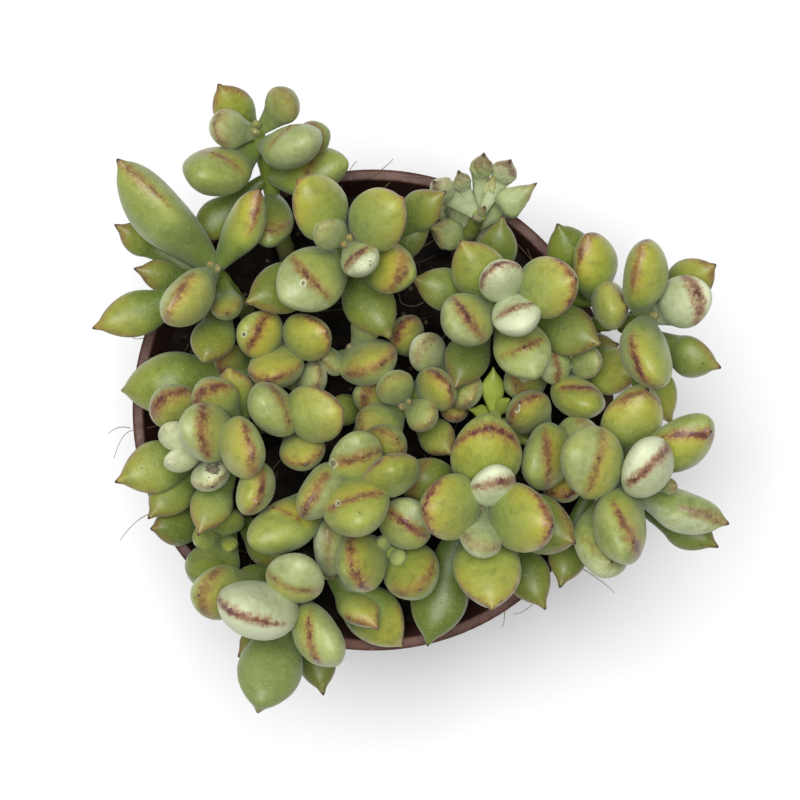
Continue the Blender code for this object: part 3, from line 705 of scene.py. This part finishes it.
class Finish:
    """A material's nodes, added one by one."""

    def __init__(self, name):
        self.material = bpy.data.materials.new(name)
        self.material.use_nodes = True
        self.tree = self.material.node_tree
        self.shader = self.tree.nodes["Principled BSDF"]
        self.place = self.add("ShaderNodeTexCoord").outputs["Object"]

    def add(self, kind, inputs=(), **settings):
        node = self.tree.nodes.new(kind)
        for key, value in settings.items():
            setattr(node, key, value)
        for key, value in inputs:
            self.put(node.inputs[key], value)
        return node

    def put(self, socket, value):
        if isinstance(value, bpy.types.NodeSocket):
            self.tree.links.new(value, socket)
        else:
            socket.default_value = value

    def value(self, name):
        """One of the mesh's own values, by name."""
        return self.add("ShaderNodeAttribute", attribute_name=name).outputs["Fac"]

    def math(self, operation, first, second=0.0):
        node = self.add("ShaderNodeMath", ((0, first), (1, second)), operation=operation)
        return node.outputs[0]

    def times(self, first, second):
        return self.math("MULTIPLY", first, second)

    def plus(self, first, second):
        return self.math("ADD", first, second)

    def step(self, value, low, high, to_low=0.0, to_high=1.0):
        """Goes smoothly from one value to another as the input passes low and high."""
        inputs = ((0, value), (1, low), (2, high), (3, to_low), (4, to_high))
        node = self.add("ShaderNodeMapRange", inputs, interpolation_type="SMOOTHSTEP")
        return node.outputs[0]

    def noise(self, scale, detail=2.0, rough=0.5):
        inputs = (("Vector", self.place), ("Scale", scale), ("Detail", detail))
        node = self.add("ShaderNodeTexNoise", (*inputs, ("Roughness", rough)))
        return node.outputs["Fac"]

    def cells(self, scale, chance=1.0):
        """(distance from the nearest cell's middle, a draw for that cell)."""
        inputs = (("Vector", self.place), ("Scale", scale), ("Randomness", chance))
        node = self.add("ShaderNodeTexVoronoi", inputs)
        draw = self.add("ShaderNodeSeparateColor", ((0, node.outputs["Color"]),))
        return node.outputs["Distance"], draw.outputs[0]

    def mix(self, factor, first, second):
        node = self.add("ShaderNodeMix", data_type="RGBA")
        for key, value in ((0, factor), (6, first), (7, second)):
            if isinstance(value, tuple) and len(value) == 3:
                value = (*value, 1)
            self.put(node.inputs[key], value)
        return node.outputs[2]

    def bump(self, height, strength, distance):
        inputs = (("Strength", strength), ("Distance", distance), ("Height", height))
        node = self.add("ShaderNodeBump", inputs)
        self.put(self.shader.inputs["Normal"], node.outputs["Normal"])

    def set(self, **values):
        for key, value in values.items():
            plain = key.replace("_", " ").title().replace("Ior", "IOR")
            self.put(self.shader.inputs[plain], value)
        return self.material


def shade_of(prop):
    return (*prop, 1)


def leaf_finish(name, colours, specks=0.0):
    """Leaf skin: green with a yellow flush, a stippled maroon line, bloom, marks and painted shade on
    low leaves.
    """
    look = Finish(name)
    along, side, tip = look.value("along"), look.value("line_side"), look.value("from_tip")
    bloom, flush, line = look.value("bloom"), look.value("flush"), look.value("line")
    painted_shade, chance, reach = look.value("painted_shade"), look.value("chance"), look.value("reach")
    away = look.math("ABSOLUTE", side)
    broad = look.noise(110, 3)
    fine = look.noise(1900, 3, 0.6)
    grain = look.noise(620, 4, 0.65)
    # Green, deeper towards the stalk, with a yellow flush on the inner side of the line
    cloud = look.plus(look.times(broad, 0.65), look.times(grain, 0.35))
    skin = look.mix(look.step(cloud, 0.36, 0.60), shade_of(colours.deep), shade_of(colours.green))
    skin = look.mix(look.times(look.step(chance, 0.3, 1.0), 0.5), skin, shade_of(colours.cool))
    inner = look.step(look.plus(side, look.times(broad, 4.0)), 2.5, 10.5, 1.0, 0.0)
    inner = look.times(inner, look.step(side, -1.0, 0.5, 0.25, 1.0))
    ripe = look.times(look.times(inner, look.step(reach, -0.4, 0.6)), flush)
    skin = look.mix(look.math("MINIMUM", look.times(ripe, 1.3), 1.0), skin, shade_of(colours.flush))
    blotch = look.step(look.noise(330, 4, 0.6), 0.48, 0.72, 0.0, 0.40)
    skin = look.mix(blotch, skin, shade_of(colours.stalk))
    skin = look.mix(look.step(along, 0.05, 0.55, 0.8, 0.0), skin, shade_of(colours.stalk))
    # Painted shade: the green darkened by the leaf's painted shade value
    skin = look.mix(look.times(painted_shade, 0.9), skin, shade_of(colours.painted_shade_green))
    # Bloom: powder, thickest beyond the line and rubbed off in patches
    worn = look.step(look.noise(190, 5, 0.65), 0.30, 0.70)
    beyond = look.step(look.plus(side, look.times(grain, 1.2)), -1.8, 0.2, 1.0, 0.35)
    beyond = look.times(beyond, look.step(reach, -0.5, 0.3, 0.7, 1.0))
    powder = look.times(look.times(bloom, beyond), look.plus(look.times(worn, 0.7), 0.55))
    powder = look.plus(powder, look.times(look.step(bloom, 0.6, 1.0), 0.35))
    powder = look.times(powder, look.plus(look.times(grain, 0.9), 0.5))
    powder = look.math("MINIMUM", powder, 0.92)
    skin = look.mix(powder, skin, shade_of(colours.bloom))
    # The line over the leaf's blunt end, broken into stipples at its edges
    shown = look.times(look.step(reach, 0.02, 0.40), line)
    thin = look.step(reach, 0.1, 0.9, 0.7, 0.0)
    ragged = look.plus(look.times(look.math("SUBTRACT", grain, 0.5), 3.4), away)
    ragged = look.plus(ragged, look.times(look.math("SUBTRACT", fine, 0.5), 2.0))
    ragged = look.plus(look.plus(ragged, thin), look.times(look.math("SUBTRACT", broad, 0.5), 1.5))
    faded = look.step(look.noise(240, 3), 0.35, 0.60, 0.30, 1.0)
    core = look.times(look.times(look.step(ragged, -0.2, 1.2, 1.0, 0.0), shown), faded)
    halo = look.times(look.step(ragged, 0.2, 2.3, 0.75, 0.0), shown)
    skin = look.mix(halo, skin, shade_of(colours.halo))
    skin = look.mix(look.math("MINIMUM", look.times(core, 1.1), 0.92), skin, shade_of(colours.line))
    skin = look.mix(look.step(tip, 0.30, 0.85, 0.9, 0.0), skin, shade_of(colours.point))
    # Pale pores, dark specks and corky scars with a pale edge
    pore, pick = look.cells(1500)
    pores = look.times(look.step(pore, 0.10, 0.26, 1.0, 0.0), look.step(pick, 0.45, 0.5))
    skin = look.mix(look.times(pores, 0.34), skin, shade_of(colours.bloom))
    spot, pick = look.cells(420)
    dots = look.times(look.step(spot, 0.07, 0.15, 1.0, 0.0), look.step(pick, 0.91 - specks, 0.94))
    skin = look.mix(look.times(dots, 0.65), skin, shade_of(colours.speck))
    scar_x, scar_y = look.value("scar_x"), look.value("scar_y")
    scar = look.plus(look.times(scar_x, scar_x), look.times(scar_y, scar_y))
    scar = look.plus(look.math("SQRT", scar), look.times(look.math("SUBTRACT", grain, 0.5), 2.2))
    ring = look.step(scar, 0.85, 1.15, 0.6, 0.0)
    heart = look.step(scar, 0.45, 0.70, 0.9, 0.0)
    cork = look.mix(look.step(fine, 0.4, 0.6), shade_of(colours.speck), shade_of(colours.bark_light))
    skin = look.mix(ring, skin, shade_of(colours.bloom))
    skin = look.mix(heart, skin, cork)
    rough = look.plus(look.times(powder, 0.22), look.plus(look.times(grain, 0.12), 0.36))
    relief = look.plus(look.times(grain, 0.6), look.times(fine, 0.3))
    relief = look.plus(relief, look.times(heart, -0.8))
    relief = look.plus(relief, look.times(core, 0.35))
    look.bump(relief, 0.35, 0.0003)
    return look.set(
        base_color=skin,
        roughness=rough,
        specular_ior_level=0.36,
        sheen_weight=0.16,
        sheen_roughness=0.5,
        sheen_tint=(0.85, 0.92, 0.80, 1),
    )


def stem_finish(colours):
    """Stem bark: green near the leaves, grey-brown and cracked near the soil."""
    look = Finish("stem bark")
    height = look.add("ShaderNodeSeparateXYZ", ((0, look.place),)).outputs["Z"]
    crack = look.noise(700, 4, 0.7)
    patch = look.noise(160, 3)
    green = look.mix(patch, shade_of(colours.stalk), shade_of(colours.green))
    bark = look.mix(crack, shade_of(colours.bark), shade_of(colours.bark_light))
    rise = look.plus(height, look.times(patch, 0.02))
    skin = look.mix(look.step(rise, 0.100, 0.118), bark, green)
    look.bump(crack, 0.5, 0.0003)
    return look.set(base_color=skin, roughness=0.7)


def pot_finish(colours):
    """Thin brown plastic with fine rings, scuffs, a little dust and a lighter rim top that is part
    wear, part painted highlight.
    """
    look = Finish("nursery pot plastic")
    cloud = look.noise(45, 4, 0.6)
    fine = look.noise(1800, 3)
    stretched = look.add(
        "ShaderNodeMapping", (("Vector", look.place), ("Scale", (0.25, 0.25, 6)))
    ).outputs["Vector"]
    bands = look.add(
        "ShaderNodeTexNoise", (("Vector", stretched), ("Scale", 160), ("Detail", 2))
    ).outputs["Fac"]
    skin = look.mix(look.step(cloud, 0.3, 0.7), shade_of(colours.pot), shade_of(colours.pot_worn))
    skin = look.mix(look.times(look.step(bands, 0.45, 0.8), 0.25), skin, shade_of(colours.pot_worn))
    spot, pick = look.cells(380)
    dust = look.times(look.step(spot, 0.08, 0.25, 1.0, 0.0), look.step(pick, 0.80, 0.9))
    skin = look.mix(look.times(dust, 0.35), skin, shade_of(colours.fibre))
    # The rim's top edge made lighter: part wear, part painted highlight where the light falls on the
    # lip
    height = look.add("ShaderNodeSeparateXYZ", ((0, look.place),)).outputs["Z"]
    rim_wear_and_highlight_mask = look.plus(height, look.times(look.noise(300, 5, 0.7), 0.0016))
    rim_wear_and_highlight_mask = look.step(rim_wear_and_highlight_mask, 0.0954, 0.0962, 0.0, 0.8)
    skin = look.mix(rim_wear_and_highlight_mask, skin, shade_of(colours.rim_wear_and_highlight))
    rough = look.plus(look.times(cloud, 0.25), 0.45)
    look.bump(look.plus(look.times(bands, 0.6), look.times(fine, 0.3)), 0.35, 0.0005)
    return look.set(base_color=skin, roughness=rough, specular_ior_level=0.3)


def soil_finish(colours):
    """Potting mix: near-black crumbs, darkened in part as painted shade, with brown and tan bits."""
    look = Finish("potting mix")
    clump = look.noise(140, 5, 0.7)
    grain = look.noise(900, 4, 0.7)
    # The near-black soil colour is partly painted shade for the gaps under the leaves
    skin = look.mix(look.step(clump, 0.35, 0.7), shade_of(colours.soil), shade_of(colours.soil_light))
    bit, pick = look.cells(520)
    bits = look.times(look.step(bit, 0.15, 0.4, 1.0, 0.0), look.step(pick, 0.86, 0.92))
    skin = look.mix(look.times(bits, 0.5), skin, shade_of(colours.fibre))
    look.bump(look.plus(clump, look.times(grain, 0.7)), 0.9, 0.0012)
    return look.set(base_color=skin, roughness=0.95, specular_ior_level=0.2)


def fibre_finish(colours):
    """Dry root fibre: tan to brown along its length."""
    look = Finish("dry root fibre")
    skin = look.mix(look.noise(260, 2), shade_of(colours.soil_light), shade_of(colours.fibre))
    return look.set(base_color=skin, roughness=0.85)


def colour_property(name, description, default):
    return FloatVectorProperty(
        name=name, description=description, default=default, subtype="COLOR", size=3, min=0, max=1
    )


class CotyledonColours(bpy.types.PropertyGroup):
    green: colour_property("Green", "Middle green of a leaf", (0.235, 0.290, 0.036))
    deep: colour_property("Deep green", "Deeper green of a leaf", (0.118, 0.168, 0.014))
    cool: colour_property("Cool green", "Greyer green that some leaves have", (0.165, 0.235, 0.056))
    flush: colour_property("Flush", "Yellow flush beside the line", (0.420, 0.370, 0.030))
    stalk: colour_property("Stalk green", "Green near a leaf's base", (0.070, 0.115, 0.009))
    # Painted shade: a darker green that stands for the shade the low leaves lie in
    painted_shade_green: colour_property("Shade green", "Green of the old, low leaves", (0.048, 0.080, 0.009))
    bloom: colour_property("Bloom", "Pale powder on the skin", (0.620, 0.660, 0.440))
    halo: colour_property("Line's edge", "Reddish brown beside the line", (0.300, 0.105, 0.055))
    line: colour_property("Line", "Maroon line over a leaf's end", (0.090, 0.020, 0.022))
    point: colour_property("Point", "Dark point at a leaf's tip", (0.045, 0.012, 0.010))
    speck: colour_property("Speck", "Dark specks and scars", (0.035, 0.028, 0.015))
    sprout: colour_property("Sprout", "Yellow-green of the small sprout", (0.330, 0.400, 0.070))
    bark: colour_property("Bark", "Old stem", (0.090, 0.060, 0.035))
    bark_light: colour_property("Pale bark", "Cracks of an old stem", (0.230, 0.180, 0.110))
    pot: colour_property("Pot", "Brown plastic", (0.034, 0.013, 0.010))
    pot_worn: colour_property("Worn pot", "Scuffed plastic", (0.075, 0.030, 0.022))
    # Part wear, part painted highlight on the rim's top edge
    rim_wear_and_highlight: colour_property("Scuff", "The worn top edge of the rim", (0.150, 0.070, 0.050))
    # Partly painted shade: the mix's own dark brown made near-black for the shade between the leaves
    soil: colour_property("Soil", "Potting mix", (0.005, 0.004, 0.003))
    soil_light: colour_property("Light soil", "Drier crumbs", (0.026, 0.017, 0.011))
    fibre: colour_property("Fibre", "Dry roots", (0.300, 0.215, 0.120))
    floor: colour_property("Floor", "The pale floor", (0.90, 0.90, 0.90))


class CotyledonSizes(bpy.types.PropertyGroup):
    lip_round: FloatProperty(
        name="Lip rounding", description="How round the pot's lip is",
        default=0.0009, min=0.0002, max=0.0013, unit="LENGTH",
    )
    soil_relief: FloatProperty(
        name="Soil relief", description="How far the soil's top rises and dips",
        default=0.0022, min=0, max=0.004, unit="LENGTH",
    )
    crumbs: IntProperty(
        name="Crumbs", description="How many loose crumbs lie on the soil", default=700, min=0, max=3000
    )
    fibres: IntProperty(
        name="Fibres", description="How many root fibres lie on the soil", default=90, min=0, max=400
    )
    fibre_radius: FloatProperty(
        name="Fibre radius", description="Half the thickness of a root fibre",
        default=0.00014, min=0.00005, max=0.0005, unit="LENGTH",
    )


def wall_radius(height):
    """The pot's outer radius below its lip, at a height."""
    top = RIM_RADIUS - LIP_WIDTH + WALL
    return BASE_RADIUS + (top - BASE_RADIUS) * height / POT_HEIGHT


def turned(profile, steps):
    """A closed body turned about the upright axis from a profile that ends on it."""
    shape = bmesh.new()
    verts = [shape.verts.new((radius, 0, height)) for radius, height in profile]
    edges = [shape.edges.new(pair) for pair in zip(verts, verts[1:])]
    bmesh.ops.spin(
        shape, geom=verts + edges, axis=(0, 0, 1), cent=(0, 0, 0),
        steps=steps, angle=2 * math.pi, use_merge=True,
    )
    bmesh.ops.remove_doubles(shape, verts=shape.verts, dist=1e-6)
    bmesh.ops.recalc_face_normals(shape, faces=shape.faces)
    return shape


def rounded(corner, before, after, radius, steps=5):
    """The points of a rounded corner between two straight runs of a profile."""
    corner, before, after = map(np.array, (corner, before, after))
    start = corner + unit(before - corner) * radius
    end = corner + unit(after - corner) * radius
    return [
        tuple(start * (1 - t) ** 2 + corner * 2 * t * (1 - t) + end * t**2)
        for t in np.linspace(0, 1, steps)
    ]


def soil_height(x, y, relief):
    """The height of the soil's lumpy top at a place."""
    lumps = noise.fractal(Vector((x * 90, y * 90, 0.5)), 0.6, 2.1, 4)
    clods = 1 - noise.cell(Vector((x * 260, y * 260, 3.1))) * 0.35
    return SOIL_TOP - relief * 0.35 + relief * 0.9 * lumps * clods


class CotyledonOperator:
    """What the operators have in common: they draw the sizes and colours from the scene."""

    bl_options = {"REGISTER", "UNDO"}

    @property
    def sizes(self):
        return bpy.context.scene.cotyledon_sizes

    @property
    def colours(self):
        return bpy.context.scene.cotyledon_colours


class COTYLEDON_OT_build_pot(CotyledonOperator, bpy.types.Operator):
    """Build the plastic pot with its rolled lip and drainage holes"""

    bl_idname = "cotyledon.build_pot"
    bl_label = "Pot"

    def execute(self, context):
        low, inner = POT_HEIGHT - LIP_DEPTH, RIM_RADIUS - LIP_WIDTH
        bend = self.sizes.lip_round
        corners = [
            (0, 0), (BASE_RADIUS, 0), (wall_radius(low), low), (RIM_RADIUS, low),
            (RIM_RADIUS, POT_HEIGHT), (inner, POT_HEIGHT),
            (wall_radius(FLOOR) - WALL, FLOOR), (0, FLOOR),
        ]
        bends = (0, 0.0015, 0.0004, 0.0006, bend, bend * 0.7, 0.0010, 0)
        profile = [corners[0]]
        for step in range(1, len(corners) - 1):
            around = corners[step], corners[step - 1], corners[step + 1]
            profile += rounded(*around, bends[step])
        profile.append(corners[-1])
        pot = finish_piece("pot_shell", turned(profile, 160), pot_finish(self.colours))
        cutters = bmesh.new()
        for number in range(DRAIN_HOLES):
            turn = 2 * math.pi * (number + 0.5) / DRAIN_HOLES
            made = bmesh.ops.create_cone(
                cutters, cap_ends=True, segments=32, radius1=DRAIN_RADIUS,
                radius2=DRAIN_RADIUS, depth=0.008,
            )["verts"]
            middle = (DRAIN_RING * math.cos(turn), DRAIN_RING * math.sin(turn), 0.002)
            bmesh.ops.translate(cutters, verts=made, vec=middle)
        mesh = bpy.data.meshes.new("drain")
        cutters.to_mesh(mesh)
        cutters.free()
        drain = bpy.data.objects.new("drain", mesh)
        context.scene.collection.objects.link(drain)
        cut = pot.modifiers.new("Drain", "BOOLEAN")
        cut.object, cut.operation, cut.solver = drain, "DIFFERENCE", "EXACT"
        context.view_layer.update()
        graph = context.evaluated_depsgraph_get()
        holed = bpy.data.meshes.new_from_object(pot.evaluated_get(graph))
        pot.modifiers.clear()
        pot.data = holed
        bpy.data.objects.remove(drain)
        holed.shade_smooth()
        holed.set_sharp_from_angle(angle=math.radians(35))
        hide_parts("pot")
        return {"FINISHED"}


class COTYLEDON_OT_build_soil(CotyledonOperator, bpy.types.Operator):
    """Build the lumpy soil and the crumbs that lie on it"""

    bl_idname = "cotyledon.build_soil"
    bl_label = "Soil"

    def execute(self, context):
        low = FLOOR + CLEAR
        inner = wall_radius(SOIL_TOP) - WALL - CLEAR
        rings = [(inner * step / 80, SOIL_TOP) for step in range(80, -1, -1)]
        profile = [(0, low), (wall_radius(low) - WALL - CLEAR, low), *rings]
        shape = turned(profile, 180)
        relief = self.sizes.soil_relief
        for vert in shape.verts:
            x, y, z = vert.co
            if z > SOIL_TOP - 1e-5:
                fade = min(1, (inner - math.hypot(x, y)) / 0.002 + 0.3)
                vert.co.z += (soil_height(x, y, relief) - SOIL_TOP) * fade
        soil = finish_piece("soil_bed", shape, soil_finish(self.colours))
        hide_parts("soil")
        draw = np.random.default_rng(11)
        shape = bmesh.new()
        for _ in range(self.sizes.crumbs):
            far, turn = (inner - 0.002) * math.sqrt(draw.uniform()), draw.uniform(0, 6.28)
            x, y = far * math.cos(turn), far * math.sin(turn)
            size = 0.0004 + 0.0011 * draw.uniform() ** 2
            made = bmesh.ops.create_icosphere(shape, subdivisions=1, radius=size)["verts"]
            squash = draw.uniform(0.6, 1.25, 3)
            for vert in made:
                vert.co = [c * s * draw.uniform(0.8, 1.15) for c, s in zip(vert.co, squash)]
            place = (x, y, soil_height(x, y, relief) + size * 0.35)
            bmesh.ops.translate(shape, verts=made, vec=place)
        crumbs = finish_piece("soil_crumbs", shape, soil.data.materials[0])
        return {"FINISHED"}


class COTYLEDON_OT_build_stems(CotyledonOperator, bpy.types.Operator):
    """Build every leafy stem, each with its own leaves"""

    bl_idname = "cotyledon.build_stems"
    bl_label = "Leafy stems"

    def execute(self, context):
        stems, leaves = all_leaves()
        settle(stems, leaves)
        colours = self.colours
        bark = stem_finish(colours)
        skin = leaf_finish("leaf skin", colours)
        speckled = leaf_finish("speckled leaf skin", colours, specks=0.3)
        sprout = sprout_finish(colours)
        draw = np.random.default_rng(5)
        ball = bpy.data.meshes.new("ball")
        shape = bmesh.new()
        bmesh.ops.create_uvsphere(
            shape, u_segments=LEAF_AROUND, v_segments=LEAF_ALONG, radius=1
        )
        shape.to_mesh(ball)
        shape.free()
        for name, stem in stems.items():
            shape = bmesh.new()
            mesh = stem_mesh(stem)
            shape.from_mesh(mesh)
            bpy.data.meshes.remove(mesh)
            for face in shape.faces:
                face.material_index = 1
            own = [leaf for leaf in leaves if leaf.shoot == name]
            if name not in BUDLESS:
                own += buds_of(name, stem)
            for _ in own:
                shape.from_mesh(ball)
            outer = {"sprout": sprout}.get(name, speckled if name in SPECKLED else skin)
            piece = finish_piece("leafy_stem_" + name, shape, outer, bark)
            self.shape_leaves(piece.data, own, draw)
            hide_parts("shoot_" + name)
        return {"FINISHED"}

    def shape_leaves(self, mesh, leaves, draw):
        """Draws out the balls at the end of a stem's mesh into its leaves."""
        spots = np.empty(len(mesh.vertices) * 3)
        mesh.vertices.foreach_get("co", spots)
        spots = spots.reshape(-1, 3)
        values = np.zeros((len(LAYERS), len(spots)))
        count = LEAF_AROUND * (LEAF_ALONG - 1) + 2
        start = len(spots) - count * len(leaves)
        for number, leaf in enumerate(leaves):
            own = slice(start + number * count, start + (number + 1) * count)
            looks = leaf_looks(leaf, number, draw)
            spots[own], values[:, own] = draw_out(spots[own], leaf, number, looks, draw)
        mesh.vertices.foreach_set("co", spots.ravel())
        for layer, value in zip(LAYERS, values):
            mesh.attributes.new(layer, "FLOAT", "POINT").data.foreach_set("value", value)
        mesh.update()


def sprout_finish(colours):
    """The small sprout's thin, bright leaves."""
    look = Finish("sprout leaf skin")
    patch = look.noise(300, 3)
    skin = look.mix(patch, shade_of(colours.sprout), shade_of(colours.green))
    look.bump(look.noise(900, 3), 0.2, 0.0002)
    return look.set(base_color=skin, roughness=0.4)


# Root fibres that the photograph shows at the rim, as points in the plan (x, y in
# millimetres from the pot's axis as seen, height above the rim in millimetres).
RIM_FIBRES = (
    ((-54, -4, -6), (-58, -5, 0.5), (-60.5, -4.5, 0.8), (-63, -7, -1), (-64.5, -12, -6)),
    ((-60.5, -4.5, 0.8), (-63.5, -3.5, -0.5), (-66, -6, -3)),
    ((-56, -26, -4), (-58.5, -27, 0.6), (-61, -29.5, -1), (-63, -32.5, -5)),
    ((-52, 20, -6), (-56.5, 18, 0.4), (-59.5, 16.5, 0.6), (-60.5, 19, 0)),
    ((41, -44, -5), (42, -46, 0.6), (39, -50.5, 0), (35, -50.8, -1.5)),
    ((33, -47, -4), (32.5, -50.5, 0.5), (33, -53, -2), (32, -54, -4)),
    ((50, -38, -5), (53.5, -40.5, 0.4), (58, -43, -2), (60, -45.5, -5)),
    ((-9, 53, -6), (-7, 57.5, 0.5), (-6, 60, 0.6), (-4, 62, -1)),
    ((2, 54, -5), (4, 58, 0.5), (9, 59, 0.6), (14, 57.5, 0.4)),
    ((-1, 58, 0.6), (3, 60, 0.6), (5, 62.5, -0.5)),
    ((33, 44.5, -2), (35, 42, -5), (39, 38.5, -6), (41, 35, -9)),
    ((38.5, 40, -1.5), (39, 37.5, -6), (43, 33, -7.5)),
    ((29, 47, -1.5), (32, 43, -6), (33, 40, -9)),
)


class COTYLEDON_OT_build_fibres(CotyledonOperator, bpy.types.Operator):
    """Lay root fibres on the soil, up the inner wall and over the rim"""

    bl_idname = "cotyledon.build_fibres"
    bl_label = "Root fibres"

    def execute(self, context):
        draw = np.random.default_rng(23)
        curve = bpy.data.curves.new("root_fibres", "CURVE")
        curve.dimensions = "3D"
        curve.bevel_depth = self.sizes.fibre_radius
        curve.bevel_resolution = 1
        curve.use_fill_caps = True
        curve.resolution_u = 6
        relief = self.sizes.soil_relief
        inner = wall_radius(SOIL_TOP) - WALL - CLEAR

        def lay(points, thick):
            spline = curve.splines.new("NURBS")
            spline.points.add(len(points) - 1)
            spline.use_endpoint_u = True
            spline.order_u = 4
            for number, (point, place) in enumerate(zip(spline.points, points)):
                point.co = (*place, 1)
                point.radius = thick * (1 - 0.5 * number / len(points))

        for fibre in RIM_FIBRES:
            points = []
            for x, y, height in fibre:
                flat = from_plan(x * MM, y * MM, height * MM)
                points.append((*flat, POT_HEIGHT + height * MM))
            lay(points, 0.8)
        for _ in range(self.sizes.fibres):
            far, turn = (inner - 0.004) * math.sqrt(draw.uniform(0.1, 1)), draw.uniform(0, 6.28)
            way, points = draw.uniform(0, 6.28), []
            x, y = far * math.cos(turn), far * math.sin(turn)
            for _ in range(draw.integers(5, 10)):
                if math.hypot(x, y) > inner - 0.0008:
                    break
                rise = soil_height(x, y, relief) + draw.uniform(0.0001, 0.0012)
                points.append((x, y, rise))
                way += draw.normal(0, 0.55)
                x, y = x + 0.0022 * math.cos(way), y + 0.0022 * math.sin(way)
            if len(points) >= 4:
                lay(points, draw.uniform(0.5, 1.4))
        holder = bpy.data.objects.new("root_fibres", curve)
        context.scene.collection.objects.link(holder)
        context.view_layer.update()
        graph = context.evaluated_depsgraph_get()
        mesh = bpy.data.meshes.new_from_object(holder.evaluated_get(graph))
        bpy.data.objects.remove(holder)
        shape = bmesh.new()
        shape.from_mesh(mesh)
        bpy.data.meshes.remove(mesh)
        fibres = finish_piece("root_fibres", shape, fibre_finish(self.colours))
        return {"FINISHED"}


class COTYLEDON_OT_build_stage(CotyledonOperator, bpy.types.Operator):
    """Set the pale floor, the soft light and the camera above the pot"""

    bl_idname = "cotyledon.build_stage"
    bl_label = "Stage"

    def execute(self, context):
        scene = context.scene
        shape = bmesh.new()
        bmesh.ops.create_grid(shape, x_segments=1, y_segments=1, size=4)
        mesh = bpy.data.meshes.new("floor")
        shape.to_mesh(mesh)
        shape.free()
        look = Finish("pale floor")
        mesh.materials.append(look.set(base_color=shade_of(self.colours.floor), roughness=0.8))
        floor = bpy.data.objects.new("floor", mesh)
        scene.collection.objects.link(floor)
        floor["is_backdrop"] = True
        world = bpy.data.worlds.new("soft sky")
        world.use_nodes = True
        world.node_tree.nodes["Background"].inputs["Color"].default_value = (0.95, 0.98, 1, 1)
        world.node_tree.nodes["Background"].inputs["Strength"].default_value = 0.14
        scene.world = world
        for name, place, size, power in (
            ("key light", (-0.09, 0.15, 1.50), 1.00, 29),
        ):
            light = bpy.data.lights.new(name, "AREA")
            light.shape, light.size, light.energy = "DISK", size, power
            lamp = bpy.data.objects.new(name, light)
            lamp.location = place
            aim = Vector((0, 0, 0.08)) - lamp.location
            lamp.rotation_euler = aim.to_track_quat("-Z", "Y").to_euler()
            scene.collection.objects.link(lamp)
        lens = bpy.data.cameras.new("camera above")
        lens.sensor_width, lens.lens = 36, 90.4
        camera = bpy.data.objects.new("camera above", lens)
        camera.location = (*EYE, POT_HEIGHT + EYE_HEIGHT)
        scene.collection.objects.link(camera)
        scene.camera = camera
        scene.view_settings.view_transform = "Standard"
        return {"FINISHED"}


OPERATORS = (
    COTYLEDON_OT_build_pot,
    COTYLEDON_OT_build_soil,
    COTYLEDON_OT_build_stems,
    COTYLEDON_OT_build_fibres,
    COTYLEDON_OT_build_stage,
)


class COTYLEDON_PT_panel(bpy.types.Panel):
    """Lists the sizes, the colours and the steps of the build"""

    bl_label = "Potted Cotyledon"
    bl_idname = "COTYLEDON_PT_panel"
    bl_space_type = "VIEW_3D"
    bl_region_type = "UI"
    bl_category = "Cotyledon"

    def draw(self, context):
        for group in (context.scene.cotyledon_sizes, context.scene.cotyledon_colours):
            box = self.layout.box()
            for name in group.__annotations__:
                box.prop(group, name)
        for operator in OPERATORS:
            self.layout.operator(operator.bl_idname)


CLASSES = (CotyledonColours, CotyledonSizes, *OPERATORS, COTYLEDON_PT_panel)


def register():
    for item in CLASSES:
        bpy.utils.register_class(item)
    bpy.types.Scene.cotyledon_colours = PointerProperty(type=CotyledonColours)
    bpy.types.Scene.cotyledon_sizes = PointerProperty(type=CotyledonSizes)


def unregister():
    del bpy.types.Scene.cotyledon_sizes
    del bpy.types.Scene.cotyledon_colours
    for item in reversed(CLASSES):
        bpy.utils.unregister_class(item)


def main():
    register()
    bpy.ops.cotyledon.build_pot()
    bpy.ops.cotyledon.build_soil()
    bpy.ops.cotyledon.build_stems()
    bpy.ops.cotyledon.build_fibres()
    bpy.ops.cotyledon.build_stage()
    sizes = {"cad": CAD_BOX, "scene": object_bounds()}
    sizes = {name: [list(corner) for corner in box] for name, box in sizes.items()}


if __name__ == "__main__":
    main()
